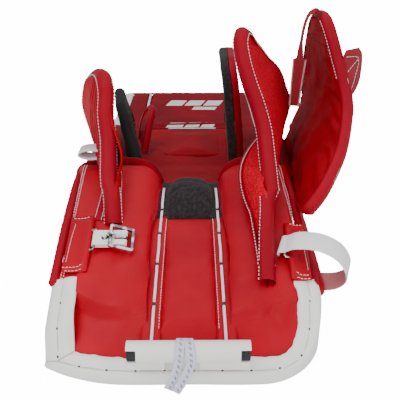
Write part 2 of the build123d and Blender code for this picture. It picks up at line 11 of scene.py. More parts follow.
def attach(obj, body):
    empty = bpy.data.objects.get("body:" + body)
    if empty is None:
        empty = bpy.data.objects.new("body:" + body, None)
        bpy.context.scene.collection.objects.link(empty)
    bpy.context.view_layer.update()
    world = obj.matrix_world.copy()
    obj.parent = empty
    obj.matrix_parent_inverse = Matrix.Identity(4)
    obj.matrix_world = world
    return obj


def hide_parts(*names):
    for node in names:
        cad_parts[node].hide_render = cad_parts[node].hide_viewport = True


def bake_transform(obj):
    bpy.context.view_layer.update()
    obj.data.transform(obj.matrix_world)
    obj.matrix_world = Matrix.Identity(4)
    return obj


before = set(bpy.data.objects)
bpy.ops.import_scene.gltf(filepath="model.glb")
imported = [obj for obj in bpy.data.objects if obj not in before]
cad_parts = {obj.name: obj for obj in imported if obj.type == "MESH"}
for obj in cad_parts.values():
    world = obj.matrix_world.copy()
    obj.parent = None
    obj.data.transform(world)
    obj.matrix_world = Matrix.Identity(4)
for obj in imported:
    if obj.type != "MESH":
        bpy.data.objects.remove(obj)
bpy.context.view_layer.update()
random.seed(11)
scene = bpy.context.scene

# Lengths in this script are millimetres in the row frame, and MM turns them into Blender's metres; only
# the studio at the end is laid out in metres.
MM = 0.001
UP = Vector((0, 0, 1))


# ---------------------------------------------------------------- shaders


class Shader:
    """A node material, its texture coordinates in metres."""

    def __init__(self, name, coords="Object"):
        self.material = bpy.data.materials.new(name)
        self.material.use_nodes = True
        self.tree = self.material.node_tree
        self.bsdf = self.tree.nodes["Principled BSDF"]
        self.coords = self.node("ShaderNodeTexCoord").outputs[coords]

    def node(self, kind, values=None, **settings):
        made = self.tree.nodes.new(kind)
        for key, value in settings.items():
            setattr(made, key, value)
        for key, value in (values or {}).items():
            self.feed(made.inputs[key], value)
        return made

    def feed(self, socket, value):
        if isinstance(value, bpy.types.NodeSocket):
            self.tree.links.new(value, socket)
        else:
            socket.default_value = value

    def noise(self, scale, detail=3, rough=0.55):
        values = {"Vector": self.coords, "Scale": scale, "Detail": detail, "Roughness": rough}
        return self.node("ShaderNodeTexNoise", values).outputs["Fac"]

    def cells(self, scale):
        return self.node("ShaderNodeTexVoronoi", {"Vector": self.coords, "Scale": scale}).outputs["Distance"]

    def wave(self, scale, direction, distortion):
        values = {"Vector": self.coords, "Scale": scale, "Distortion": distortion, "Detail": 1}
        return self.node("ShaderNodeTexWave", values, bands_direction=direction).outputs["Fac"]

    def maths(self, operation, a, b=0.5):
        return self.node("ShaderNodeMath", {0: a, 1: b}, operation=operation).outputs[0]

    def product(self, a, b):
        return self.maths("MULTIPLY", a, b)

    def spread(self, value, low, high, to_low=0.0, to_high=1.0):
        values = {"Value": value, "From Min": low, "From Max": high, "To Min": to_low, "To Max": to_high}
        return self.node("ShaderNodeMapRange", values).outputs["Result"]

    def mix(self, factor, *colours):
        mixer = self.node("ShaderNodeMix", data_type="RGBA")
        self.feed(mixer.inputs[0], factor)
        for place, colour in enumerate(colours, 6):
            self.feed(mixer.inputs[place], (*colour, 1) if isinstance(colour, tuple) else colour)
        return mixer.outputs[2]

    def mottle(self, colour, other, scale, detail, low, high):
        """One colour turning into the other in soft patches."""
        return self.mix(self.spread(self.noise(scale, detail), low, high), colour, other)

    def bump(self, *heights):
        """Bumps laid over each other, each a (height, distance in mm, strength)."""
        normal = None
        for height, distance, strength in heights:
            values = {"Height": height, "Distance": distance * MM, "Strength": strength}
            if normal:
                values["Normal"] = normal
            normal = self.node("ShaderNodeBump", values).outputs["Normal"]
        self.feed(self.bsdf.inputs["Normal"], normal)

    def finish(self, colour, roughness, sheen=0.0, metallic=0.0, specular=0.5, tint=(1, 1, 1)):
        values = {"Base Color": colour, "Roughness": roughness, "Sheen Weight": sheen, "Metallic": metallic,
                  "Specular Tint": (*tint, 1), "Specular IOR Level": specular}
        for key, value in values.items():
            self.feed(self.bsdf.inputs[key], value)
        return self.material


def shade(colour, share):
    return tuple(share * c for c in colour)


def gloss_tint(colour):
    """Tint of a dyed fabric's gloss: part of the way from white to its own hue."""
    return tuple(0.35 + 0.65 * c / max(colour) for c in colour)


def leather(name, colour, dark, grain=1500, rough=(0.36, 0.52), scuffs=0.0):
    """Coated synthetic leather: fine pebble grain, soft creases, uneven gloss and scuffed patches."""
    s = Shader(name)
    tone = s.mottle(colour, dark, 9, 4, 0.35, 0.7)
    if scuffs:
        tone = s.mix(s.spread(s.noise(55, 8, 0.75), 0.58, 0.72, 0.0, scuffs), tone, shade(colour, 0.62))
    s.bump((s.noise(38), 0.6, 0.25), (s.noise(160, 4), 0.25, 0.3), (s.cells(grain), 0.06, 0.35))
    return s.finish(tone, s.spread(s.noise(45, 4), 0.3, 0.7, *rough), specular=0.3, tint=gloss_tint(colour))


def nylon(name, colour, dark):
    """Plain woven nylon: two crossing sets of threads and broad creases."""
    s = Shader(name)
    weave = s.product(s.wave(1500, "X", 0.6), s.wave(1500, "Y", 0.6))
    tone = s.mottle(colour, dark, 14, 4, 0.35, 0.68)
    tone = s.mix(s.spread(weave, 0.0, 1.0, 0.25, 0.0), tone, shade(dark, 0.55))
    s.bump((s.noise(30, 4), 1.4, 0.4), (s.noise(110), 0.5, 0.3), (weave, 0.12, 0.5))
    return s.finish(tone, 0.62, specular=0.15, tint=gloss_tint(colour))


def mesh_fabric(name, colour, dark):
    """Spacer mesh: rows of small pits in a bright brushed knit."""
    s = Shader(name)
    pits = s.cells(420)
    s.bump((s.noise(35), 1.0, 0.35), (pits, 0.7, 0.8))
    tone = s.mix(s.spread(pits, 0.1, 0.75), dark, colour)
    return s.finish(tone, 0.78, specular=0.12, tint=gloss_tint(colour))


def knit(name, colour, light):
    """Ribbed black knit with a little wear."""
    s = Shader(name)
    ribs = s.product(s.wave(520, "X", 1.2), s.wave(420, "DIAGONAL", 1.5))
    s.bump((s.noise(60, 5), 1.2, 0.5), (ribs, 0.35, 0.6))
    return s.finish(s.mottle(colour, light, 300, 5, 0.4, 0.75), 0.85, sheen=0.1, specular=0.15)


def webbing(name, colour, dark, rib=700, rough=0.7):
    """Woven tape, ribbed along its length."""
    s = Shader(name)
    ribs = s.maths("ADD", s.wave(rib, "X", 0.4), s.wave(rib, "Z", 0.4))
    s.bump((ribs, 0.2, 0.5), (s.noise(500), 0.15, 0.4))
    return s.finish(s.mottle(colour, dark, 70, 5, 0.35, 0.75), rough, sheen=0.15, specular=0.3)


def thread(name, colour, dark):
    """Twisted sewing thread."""
    s = Shader(name)
    twist = s.wave(1600, "DIAGONAL", 0.5)
    s.bump((twist, 0.1, 0.6))
    return s.finish(s.mix(s.product(twist, s.noise(150)), colour, dark), 0.6, sheen=0.1)


def flecked_lace(name, colour, fleck):
    """Braided lace with short dark flecks along it. The piece's UV map runs along its length in metres."""
    s = Shader(name, "UV")
    across, along = s.node("ShaderNodeSeparateXYZ", {0: s.coords}).outputs[:2]
    step = s.maths("FRACT", s.product(s.maths("ADD", along, s.product(across, 0.006)), 190), 0)
    dash = s.product(s.maths("LESS_THAN", step), s.maths("GREATER_THAN", s.noise(170, 1)))
    row = s.maths("LESS_THAN", s.maths("ABSOLUTE", s.maths("SUBTRACT", across, 0.45), 0), 0.16)
    braid = s.wave(900, "DIAGONAL", 0.6)
    s.bump((braid, 0.12, 0.5))
    tone = s.mix(braid, colour, shade(colour, 0.86))
    return s.finish(s.mix(s.product(dash, row), tone, fleck), 0.75, sheen=0.1)


def metal(name, colour, rough):
    """Plated steel with faint smears."""
    s = Shader(name)
    s.bump((s.noise(700, 2), 0.02, 0.3))
    smear = s.spread(s.noise(120, 5), 0.3, 0.75, rough, rough + 0.16)
    return s.finish(s.mottle(colour, shade(colour, 0.28), 130, 1, 0.47, 0.56), smear, metallic=1.0)


def strap_with_painted_reflection(name, colour, back):
    """White strap with fine ribs across it; low down, where its back shows, the white turns to pink, a
    painted reflection of the red pad with painted shade.
    """
    s = Shader(name)
    # Painted reflection and shade: below these heights, in metres, the white turns to the pink back colour.
    painted_pink_share = s.spread(s.node("ShaderNodeSeparateXYZ", {0: s.coords}).outputs[2], 0.078, 0.064)
    tone = s.mix(s.noise(60, 4), colour, shade(colour, 0.93))
    s.bump((s.wave(900, "Y", 0.3), 0.08, 0.4), (s.noise(40), 0.4, 0.2))
    return s.finish(s.mix(painted_pink_share, tone, back), 0.42)


def foam(name, colour, light):
    """Cut closed-cell foam."""
    s = Shader(name)
    pores = s.cells(900)
    s.bump((pores, 0.3, 0.6), (s.noise(90), 0.6, 0.3))
    return s.finish(s.mix(pores, colour, light), 0.9, specular=0.2)


red_leather = leather("red leather", (0.50, 0.0, 0.015), (0.33, 0.0, 0.011))
crimson_leather = leather("crimson leather", (0.33, 0.0, 0.012), (0.24, 0.0, 0.010), rough=(0.5, 0.65))
tab_leather = leather("tab leather", (0.46, 0.0, 0.014), (0.34, 0.0, 0.011), rough=(0.4, 0.55))
white_leather = leather("white leather", (0.92, 0.92, 0.90), (0.86, 0.86, 0.84), 1300, (0.42, 0.58), 0.25)
white_binding = leather("white binding", (0.88, 0.88, 0.85), (0.80, 0.80, 0.76), 1100, scuffs=0.18)
bridge_leather = leather("bridge leather", (0.92, 0.91, 0.88), (0.86, 0.85, 0.82), 1200, (0.3, 0.45))
# The second colour is the painted pink reflection of the red pad on the strap's low, turned-back end.
strap_leather = strap_with_painted_reflection("strap leather", (0.92, 0.92, 0.93), (0.55, 0.17, 0.18))
crimson_nylon = nylon("crimson nylon", (0.27, 0.0, 0.009), (0.17, 0.0, 0.006))
# Crimson nylon brightened as painted light, for linings that sit in the wraps' shadow.
painted_light_nylon = nylon("painted light nylon", (0.40, 0.0, 0.011), (0.27, 0.0, 0.008))
# Crimson nylon darkened as painted shade, for the outer knee wrap's cover, which sits in shadow between the
# wraps.
painted_shade_nylon = nylon("painted shade nylon", (0.17, 0.0, 0.007), (0.09, 0.0, 0.004))
red_nylon = nylon("red nylon", (0.55, 0.0, 0.009), (0.38, 0.0, 0.008))
black_nylon = nylon("black nylon", (0.020, 0.018, 0.020), (0.010, 0.009, 0.010))
red_mesh = mesh_fabric("red mesh", (0.60, 0.0, 0.018), (0.32, 0.0, 0.010))
black_knit = knit("black knit", (0.013, 0.011, 0.012), (0.038, 0.033, 0.035))
white_webbing = webbing("white webbing", (0.86, 0.86, 0.88), (0.76, 0.76, 0.79))
crimson_webbing = webbing("crimson webbing", (0.30, 0.004, 0.014), (0.20, 0.002, 0.009))
pink_webbing = webbing("pink webbing", (0.85, 0.52, 0.54), (0.72, 0.40, 0.42))
white_lace = webbing("white lace", (0.90, 0.86, 0.92), (0.78, 0.74, 0.82), rib=1100)
satin_thread = webbing("satin thread", (0.80, 0.78, 0.80), (0.66, 0.62, 0.66), rib=1800, rough=0.45)
clear_elastic = webbing("clear elastic", (0.80, 0.74, 0.78), (0.66, 0.58, 0.63), rib=900, rough=0.35)
skate_lace = flecked_lace("skate lace", (0.74, 0.74, 0.88), (0.03, 0.03, 0.05))
white_thread = thread("white thread", (0.86, 0.80, 0.80), (0.62, 0.50, 0.50))
dark_thread = thread("dark thread", (0.04, 0.035, 0.03), (0.015, 0.012, 0.012))
cream_thread = thread("cream thread", (0.70, 0.67, 0.55), (0.50, 0.46, 0.36))
chrome = metal("chrome", (0.72, 0.73, 0.75), 0.1)
black_foam = foam("black foam", (0.018, 0.018, 0.020), (0.05, 0.05, 0.052))
sheet_plastic = foam("sheet plastic", (0.70, 0.70, 0.67), (0.62, 0.62, 0.60))


# ---------------------------------------------------------------- small sums


def smooth(share):
    """Share held between 0 and 1, with soft starts at both."""
    share = min(max(share, 0), 1)
    return share * share * (3 - 2 * share)


def mixed(a, b, share):
    return a + (b - a) * share


def dome(rise):
    """Height of a quarter round, from 0 at its edge to 1 where rise is 1."""
    return math.sqrt(max(1 - (1 - min(rise, 1)) ** 2, 0))


def rounding(distance, radius):
    """How far a round edge has dropped at a distance from the side."""
    if distance >= radius:
        return 0
    near = radius - max(distance, 0)
    return radius - math.sqrt(radius * radius - near * near)


def height(line, y):
    """Value of a side-view line at y."""
    for (y0, z0), (y1, z1) in zip(line, line[1:]):
        if y <= y1:
            return z0 + (z1 - z0) * (y - y0) / (y1 - y0)
    return line[-1][1]


def folds(x, y, scale, depth):
    """Uneven soft wrinkles of a loose cover."""
    broad = noise.noise(Vector((x, y, 0)) * scale)
    return depth * (broad + 0.5 * noise.noise(Vector((y, x, 9)) * scale * 2.3))


# ---------------------------------------------------------------- mesh helpers


def piece(name, verts, faces, material, body, replaces=(), uvs=None):
    """A new mesh that rides on one body. Verts are in millimetres."""
    mesh = bpy.data.meshes.new(name)
    mesh.from_pydata([Vector(v) * MM for v in verts], [], faces)
    if uvs:
        layer = mesh.uv_layers.new(name="UVMap")
        for loop in mesh.loops:
            layer.data[loop.index].uv = uvs[loop.vertex_index]
    shell = bmesh.new()
    shell.from_mesh(mesh)
    bmesh.ops.remove_doubles(shell, verts=shell.verts, dist=0.02 * MM)
    bmesh.ops.recalc_face_normals(shell, faces=shell.faces)
    shell.to_mesh(mesh)
    shell.free()
    obj = bpy.data.objects.new(name, mesh)
    scene.collection.objects.link(obj)
    return dress(obj, material, body, replaces)


def paint(obj, material):
    obj.data.materials.clear()
    obj.data.materials.append(material)


def dress(obj, material, body, replaces=()):
    """Gives a piece its material, smooth faces and its body, when it is given one."""
    paint(obj, material)
    for face in obj.data.polygons:
        face.use_smooth = True
    if body:
        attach(obj, body)
    if replaces:
        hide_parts(*replaces)
    return obj


def grid_faces(rows, columns, closed=False):
    """Quads between rows of vertices; closed joins each row's ends."""
    across = columns if closed else columns - 1
    faces = []
    for i in range(rows - 1):
        for j in range(across):
            here, beside = i * columns + j, i * columns + (j + 1) % columns
            faces.append((here, beside, beside + columns, here + columns))
    return faces


def tube_faces(rows, columns):
    """Quads between closed rows of vertices, and a cap on each end."""
    last = (rows - 1) * columns
    caps = [tuple(range(columns)), tuple(reversed(range(last, last + columns)))]
    return grid_faces(rows, columns, closed=True) + caps


def smooth_path(anchors, count):
    """Count + 1 points evenly along a smooth curve through anchors of any number of values."""
    knots = [0.0]
    for a, b in zip(anchors, anchors[1:]):
        knots.append(knots[-1] + math.dist(a, b))
    last = len(anchors) - 1
    slopes = []
    for i in range(last + 1):
        a, b = max(i - 1, 0), min(i + 1, last)
        slopes.append([(q - p) / (knots[b] - knots[a]) for p, q in zip(anchors[a], anchors[b])])
    path = []
    for step in range(count + 1):
        t = knots[-1] * step / count
        i = min(max(j for j in range(last + 1) if knots[j] <= t + 1e-9), last - 1)
        span = knots[i + 1] - knots[i]
        x = (t - knots[i]) / span
        ease = 3 * x * x - 2 * x ** 3
        start_pull = span * (x - 2 * x * x + x ** 3)
        end_pull = span * (x ** 3 - x * x)
        path.append([
            a + (b - a) * ease + ma * start_pull + mb * end_pull
            for a, b, ma, mb in zip(anchors[i], anchors[i + 1], slopes[i], slopes[i + 1])
        ])
    return path


def curve(anchors, step=3.0):
    """Points about every step along a smooth curve through 3-D anchors."""
    length = sum(math.dist(a, b) for a, b in zip(anchors, anchors[1:]))
    return [Vector(p) for p in smooth_path(anchors, max(2, round(length / step)))]


def tangents(path):
    last = len(path) - 1
    return [(path[min(i + 1, last)] - path[max(i - 1, 0)]).normalized() for i in range(last + 1)]


def rounded(width, thickness):
    """Profile of a flat tape with round edges, as (sideways, up) pairs."""
    radius = thickness / 2
    ring = []
    for side in (1, -1):
        for quarter in (-2, -1, 0, 1, 2):
            angle = math.pi * quarter / 4
            sideways = width / 2 - radius + radius * math.cos(angle)
            ring.append((side * sideways, side * radius * math.sin(angle)))
    return ring


def tube(radius, flat=1.0):
    """Profile of a round or flattened cord."""
    angles = [math.tau * k / 12 for k in range(12)]
    return [(radius * math.cos(a), radius * flat * math.sin(a)) for a in angles]


def sweep(name, path, ups, profile, material, body, replaces=(), scales=None):
    """A solid tape or cord: a profile carried along a path, capped at both ends."""
    verts, uvs = [], []
    along = 0.0
    breadth = 2 * max(x for x, _ in profile)
    for i, (point, tangent) in enumerate(zip(path, tangents(path))):
        side = tangent.cross(ups[i] if isinstance(ups, list) else ups).normalized()
        up = side.cross(tangent)
        scale = scales[i] if scales else 1
        if i:
            along += (point - path[i - 1]).length * MM
        for x, z in profile:
            verts.append(point + side * x * scale + up * z * scale)
            uvs.append((0.5 + x / breadth, along))
    return piece(name, verts, tube_faces(len(path), len(profile)), material, body, replaces, uvs)


def cord(name, anchors, profile, material, body, replaces=(), waves=0.0):
    """A cord or roll through 3-D anchors, its thickness uneven by a share of waves, its ends drawn in."""
    path = curve(anchors)
    scales = [1 + waves * noise.noise(p * 0.11) for p in path]
    for end in (0, -1):
        scales[end] *= 0.6
    return sweep(name, path, UP, profile, material, body, replaces, scales)


# Rings of one stitch: place along it, swell and rise, as shares of its length and width
STITCH = ((-0.5, 0.5, -0.5), (-0.3, 0.95, 0.25), (0, 1.0, 0.42), (0.3, 0.95, 0.25), (0.5, 0.5, -0.5))
STITCH_SIDES = 6


def stitches(name, path, normals, body, material=white_thread, pitch=4.0, length=3.0,
             width=0.95):
    """Running stitches along a path, each a short thread with its ends sunk in the fabric."""
    verts, faces = [], []
    marks = [0.0]
    for a, b in zip(path, path[1:]):
        marks.append(marks[-1] + (b - a).length)
    position = pitch / 2
    i = 0
    while position < marks[-1]:
        while marks[i + 1] < position:
            i += 1
        share = (position - marks[i]) / (marks[i + 1] - marks[i])
        centre = path[i].lerp(path[i + 1], share)
        along = (path[i + 1] - path[i]).normalized()
        up = normals[i].lerp(normals[i + 1], share).normalized()
        side = along.cross(up).normalized()
        base = len(verts)
        jitter = random.uniform(-0.12, 0.12) * width
        for offset, swell, lift in STITCH:
            ring_centre = centre + along * offset * length + up * lift * width + side * jitter * (1 + offset)
            reach = swell * width / 2
            for k in range(STITCH_SIDES):
                angle = math.tau * k / STITCH_SIDES
                verts.append(ring_centre + side * reach * math.cos(angle) + up * reach * math.sin(angle))
        faces += [tuple(base + n for n in face) for face in tube_faces(len(STITCH), STITCH_SIDES)]
        position += pitch
    return piece(name, verts, faces, material, body)


def sheet(name, edges, span, top, under, material, body, replaces=(), columns=25, step=6):
    """A closed padded layer: edges gives its plan at y and top its height at (x, y); its underside is at
    a depth below a side-view line, both given by under."""
    line, depth = under
    rows = max(2, round((span[1] - span[0]) / step)) + 1
    verts = []
    for level in (top, lambda x, y: height(line, y) - depth):
        for i in range(rows):
            y = mixed(*span, i / (rows - 1))
            for j in range(columns):
                x = mixed(*edges(y), 0.5 - 0.5 * math.cos(math.pi * j / (columns - 1)))
                verts.append(Vector((x, y, level(x, y))))
    size = rows * columns
    faces = grid_faces(rows, columns)
    faces += [tuple(size + n for n in reversed(face)) for face in faces]
    border = list(range(columns))
    border += [i * columns + columns - 1 for i in range(1, rows)]
    border += [size - 1 - j for j in range(1, columns)]
    border += [i * columns for i in reversed(range(1, rows - 1))]
    faces += [(a, b, b + size, a + size) for a, b in zip(border, border[1:] + border[:1])]
    return piece(name, verts, faces, material, body, replaces)


SKY, MID_HEIGHT = 400, 60  # heights above the whole pad and half way up it


class Skin:
    """The outside of some finished pieces, to lay seams and tapes on."""

    def __init__(self, *objects):
        verts, faces = [], []
        for obj in objects:
            start = len(verts)
            verts += [v.co / MM for v in obj.data.vertices]
            faces += [tuple(start + i for i in f.vertices) for f in obj.data.polygons]
        self.tree = BVHTree.FromPolygons(verts, faces)

    def drop(self, x, y, lift):
        """The point and normal straight below a place in the plan."""
        point, normal, _, _ = self.tree.ray_cast(Vector((x, y, SKY)), -UP)
        if point is None:
            point, normal, _, _ = self.tree.find_nearest(Vector((x, y, MID_HEIGHT)))
        return point + normal * lift, normal

    def lay(self, plan, lift, step=3.0):
        """A smooth path through plan points, laid on the skin, with its normals."""
        dropped = [self.drop(p.x, p.y, lift) for p in curve([(x, y, 0) for x, y in plan], step)]
        return [p for p, _ in dropped], [n for _, n in dropped]


# ---------------------------------------------------------------- pieces made from the frame's meshes

PRESSURE = 4.0  # of the air in a stuffed cushion
CLOTH_FRAMES = 20


def node_copy(node, name):
    """A free copy of a frame node, to be worked on."""
    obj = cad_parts[node].copy()
    obj.data = obj.data.copy()
    obj.name = name
    obj.parent = None
    scene.collection.objects.link(obj)
    return obj


def evaluated(obj):
    return obj.evaluated_get(bpy.context.evaluated_depsgraph_get())


def modify(obj, kind, **settings):
    """Makes a modifier's result the piece's own mesh."""
    modifier = obj.modifiers.new(kind, kind)
    for key, value in settings.items():
        setattr(modifier, key, value)
    mesh = bpy.data.meshes.new_from_object(evaluated(obj))
    obj.modifiers.remove(modifier)
    obj.data = mesh


def remesh(obj, size):
    modify(obj, "REMESH", mode="VOXEL", voxel_size=size * MM)


def stuffed(node, name, material, cap=5.0, shrink=-0.04):
    """A cushion blown up from its frame node by cloth pressure, never further than cap from it."""
    obj = node_copy(node, name)
    remesh(obj, 4.5)
    modify(obj, "SMOOTH", factor=0.5, iterations=6)
    cloth = obj.modifiers.new("cloth", "CLOTH")
    cloth.settings.use_pressure = True
    cloth.settings.uniform_pressure_force = PRESSURE
    cloth.settings.shrink_min = shrink
    cloth.settings.quality = 4
    cloth.settings.effector_weights.gravity = 0
    cloth.collision_settings.use_collision = False
    for number in range(1, CLOTH_FRAMES + 1):
        scene.frame_set(number)
    moved = [v.co.copy() for v in evaluated(obj).to_mesh().vertices]
    obj.modifiers.remove(cloth)
    scene.frame_set(1)
    for vertex, place in zip(obj.data.vertices, moved):
        shift = place - vertex.co
        limit = cap * MM
        if shift.length > limit:
            shift *= limit / shift.length
        vertex.co += shift
    modify(obj, "SMOOTH", factor=0.5, iterations=3)
    modify(obj, "SUBSURF", levels=1)
    return dress(obj, material, "boot", (node,))


def eased(node, name, material, body, width=2.0):
    """A firm sheet or block with its frame node's shape and rounded edges."""
    obj = node_copy(node, name)
    shell = bmesh.new()
    shell.from_mesh(obj.data)
    bmesh.ops.remove_doubles(shell, verts=shell.verts, dist=0.01 * MM)
    bmesh.ops.dissolve_limit(shell, angle_limit=0.02, verts=shell.verts, edges=shell.edges)
    shell.to_mesh(obj.data)
    shell.free()
    modify(obj, "BEVEL", width=width * MM, segments=3, limit_method="ANGLE")
    return dress(obj, material, body, (node,))


def painted(material, *nodes):
    """Wires and hidden layers that keep their frame nodes' meshes."""
    for node in nodes:
        paint(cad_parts[node], material)


def press(obj, centre, radius, depth):
    """Pushes a soft dent into a piece from above."""
    for vertex in obj.data.vertices:
        away = (vertex.co / MM - Vector(centre)).length / radius
        if away < 2.5:
            vertex.co -= UP * depth * MM * math.exp(-away * away)


def crease(obj, start, end, width, depth):
    """A soft fold pressed into a piece's top along a line in the plan."""
    a, b = Vector((*start, 0)), Vector((*end, 0))
    line = b - a
    for vertex in obj.data.vertices:
        x, y, _ = vertex.co / MM
        flat = Vector((x, y, 0)) - a
        share = min(max(flat.dot(line) / line.length_squared, 0), 1)
        away = (flat - line * share).length / width
        if away < 2.5:
            fade = math.sin(math.pi * (0.1 + 0.8 * share))
            vertex.co.z -= depth * MM * fade * math.exp(-away * away)


def lower(obj, cap):
    """Brings down what stands above cap(x, y, z)."""
    for vertex in obj.data.vertices:
        x, y, z = vertex.co / MM
        top = cap(x, y, z)
        if z > top:
            vertex.co.z = top * MM


# ---------------------------------------------------------------- leg wraps

RIM = 3.4  # half thickness of a wrap at its bound edge
BINDING = 8.5  # width of the binding on each face
TOP_ROUND = 14
PUFF_REACH = 20  # distance from the rim at which the padding is full
WRAP_ROWS, WRAP_COLUMNS = 71, 41
RIM_STEP = 1.5  # least distance between points of the bound edge


class Wrap:
    """The padded shape of a leg wrap: rows of (z, near x, near y, far x, far y, share of the thickness)."""

    def __init__(self, name, rows, side, thickness, outer_puff=0.75, inner_puff=1.0, creases=1.0,
                 rim_half=RIM, band=BINDING):
        self.name = name
        self.rim_half = rim_half
        self.band = band
        self.half = thickness / 2
        self.puffs = {1: outer_puff, -1: inner_puff}
        self.creases = creases
        sections = smooth_path(rows, WRAP_ROWS - 1)
        self.shares = [section[-1] for section in sections]
        top = sections[-1][0]
        self.middle = []
        for z, near_x, near_y, far_x, far_y, _ in sections:
            near, far = Vector((near_x, near_y, z)), Vector((far_x, far_y, z))
            left = max(TOP_ROUND - (top - z), 0) / TOP_ROUND
            tuck = TOP_ROUND * (1 - math.sqrt(1 - left * left)) * 0.9
            along = (far - near).normalized()
            near, far = near + along * tuck, far - along * tuck
            angles = [math.pi * j / (WRAP_COLUMNS - 1) for j in range(WRAP_COLUMNS)]
            self.middle.append([near.lerp(far, 0.5 - 0.5 * math.cos(angle)) for angle in angles])
        self.normals = [[self.normal(i, j) * side for j in range(WRAP_COLUMNS)] for i in range(WRAP_ROWS)]
        self.trace_rim()

    def normal(self, i, j):
        a, b = max(i - 1, 0), min(i + 1, WRAP_ROWS - 1)
        c, d = max(j - 1, 0), min(j + 1, WRAP_COLUMNS - 1)
        across = self.middle[i][d] - self.middle[i][c]
        rise = self.middle[b][j] - self.middle[a][j]
        return across.cross(rise).normalized()

    def trace_rim(self):
        """The bound edge, up the near side, over the top and down the far side: points with the directions
        out of the wrap and in from its edge."""
        last = WRAP_COLUMNS - 1
        places = [(i, 0) for i in range(WRAP_ROWS)]
        places += [(WRAP_ROWS - 1, j) for j in range(1, last)]
        places += [(i, last) for i in reversed(range(WRAP_ROWS))]
        line, normals = [], []
        for i, j in places:
            point = self.middle[i][j]
            if not line or (point - line[-1]).length >= RIM_STEP:
                line.append(point)
                normals.append(self.normals[i][j])
        self.tree = KDTree(len(line) * 4)
        for k, (a, b) in enumerate(zip(line, line[1:] + line[-1:])):
            for part in range(4):
                self.tree.insert(a.lerp(b, part / 4), k * 4 + part)
        self.tree.balance()
        centre = sum(line, Vector()) / len(line)
        self.rim = []
        for point, normal, along in zip(line, normals, tangents(line)):
            inward = along.cross(normal).normalized()
            if inward.dot(centre - point) < 0:
                inward = -inward
            self.rim.append((point, normal, inward))

    def depth(self, i, j, out):
        """Half thickness at a point of the middle surface, on its outer (1) or inner (-1) side."""
        point = self.middle[i][j]
        swell = dome(self.tree.find(point)[2] / PUFF_REACH)
        full = max(self.half * self.puffs[out] * min(self.shares[i], 1), self.rim_half)
        fold = noise.noise(point * 0.035) * 1.1 + noise.noise(point * 0.09 + Vector((7, 3, 1))) * 0.45
        return self.rim_half + (full - self.rim_half) * swell + fold * self.creases * swell

    def rim_depth(self, inset, out):
        """Half thickness at a distance in from the rim, before any folds."""
        full = max(self.half * self.puffs[out], self.rim_half)
        return self.rim_half + (full - self.rim_half) * dome(inset / PUFF_REACH)

    def face(self, name, out, material, slot, replaces=(), seam=lambda point: 0):
        """One side of the wrap; out is 1 for the cover and -1 for the lining."""
        verts = []
        for i in range(WRAP_ROWS):
            for j in range(WRAP_COLUMNS):
                point = self.middle[i][j]
                verts.append(point + self.normals[i][j] * (self.depth(i, j, out) - seam(point)) * out)
        faces = grid_faces(WRAP_ROWS, WRAP_COLUMNS)
        return piece(f"{self.name}_{name}", verts, faces, material, self.name, replaces)

    def foot(self, material):
        """Rounded end that closes the wrap where it is sewn down."""
        verts = []
        for drop, width in ((0, 1), (5.4, 0.95), (12, 0.7), (12, -0.7), (5.4, -0.95), (0, -1)):
            for j in range(WRAP_COLUMNS):
                thick = self.depth(0, j, 1 if width > 0 else -1) + 0.4
                verts.append(self.middle[0][j] + self.normals[0][j] * thick * width - UP * drop)
        return piece(f"{self.name}_foot", verts, grid_faces(6, WRAP_COLUMNS), material, self.name)

    def binding(self, name, material, slot, sides=(1, -1)):
        """Tape folded over the rim, or over its outer (1) or inner (-1) half."""
        section = ((self.band, 0.2), (self.band - 0.5, 1.0), (self.band * 0.6, 1.4), (self.band * 0.3, 1.4),
                   (0, 1.0), (-0.9, 0.3))
        closing = 0.5 if len(sides) > 1 else 1.1
        verts = []
        for point, normal, inward in self.rim:
            for out in sides:
                for inset, lift in section if out > 0 else reversed(section):
                    thick = self.rim_depth(max(inset, 0), out) * max(0, 1 + min(inset, 0) * closing)
                    verts.append(point + inward * inset + normal * out * (thick + lift))
        faces = grid_faces(len(self.rim), len(sides) * len(section))
        return piece(f"{self.name}_{name}", verts, faces, material, self.name)

    def rim_stitches(self, name, out, lowest=None):
        """Stitches along the binding, or only up its near side above a height."""
        inset = self.band - 2.1
        rim = self.rim
        if lowest:
            top = max(range(len(rim)), key=lambda k: rim[k][0].z)
            rim = [station for station in rim[:top] if station[0].z > lowest]
        lift = self.rim_depth(inset, out) + 1.25
        path = [point + inward * inset + normal * out * lift for point, normal, inward in rim]
        stitches(f"{self.name}_{name}", path, [normal * out for _, normal, _ in rim], self.name)

    def cover_line(self, marks):
        """A path over the cover through (height share, width share) marks, with its normals."""
        path, normals = [], []
        for p in curve([(100 * v, 100 * u, 0) for v, u in marks]):
            v, u = min(max(p.x / 100, 0), 1), min(max(p.y / 100, 0), 1)
            i = round(v * (WRAP_ROWS - 1))
            j = round(math.acos(1 - 2 * u) / math.pi * (WRAP_COLUMNS - 1))
            path.append(self.middle[i][j] + self.normals[i][j] * self.depth(i, j, 1))
            normals.append(self.normals[i][j])
        return path, normals

    def sew(self, materials, slots, seam=lambda point: 0, stitch_sides=(1, -1), split=None):
        """Cover, lining, bound edge and edge stitching, in materials for cover, lining and edge."""
        cover, lining, edge = materials
        outer_slot, inner_slot = slots
        self.face("shell", 1, cover, outer_slot, (f"{self.name}_cover", f"{self.name}_plate"))
        self.face("padding", -1, lining, inner_slot, (f"{self.name}_lining",), seam)
        if split:
            self.binding("outer_binding", edge, outer_slot, (1,))
            self.binding("inner_binding", split, inner_slot, (-1,))
        else:
            self.binding("binding", edge, inner_slot)
        self.foot(edge)
        for out in stitch_sides:
            self.rim_stitches(f"edge_stitches_{'out' if out > 0 else 'in'}", out)


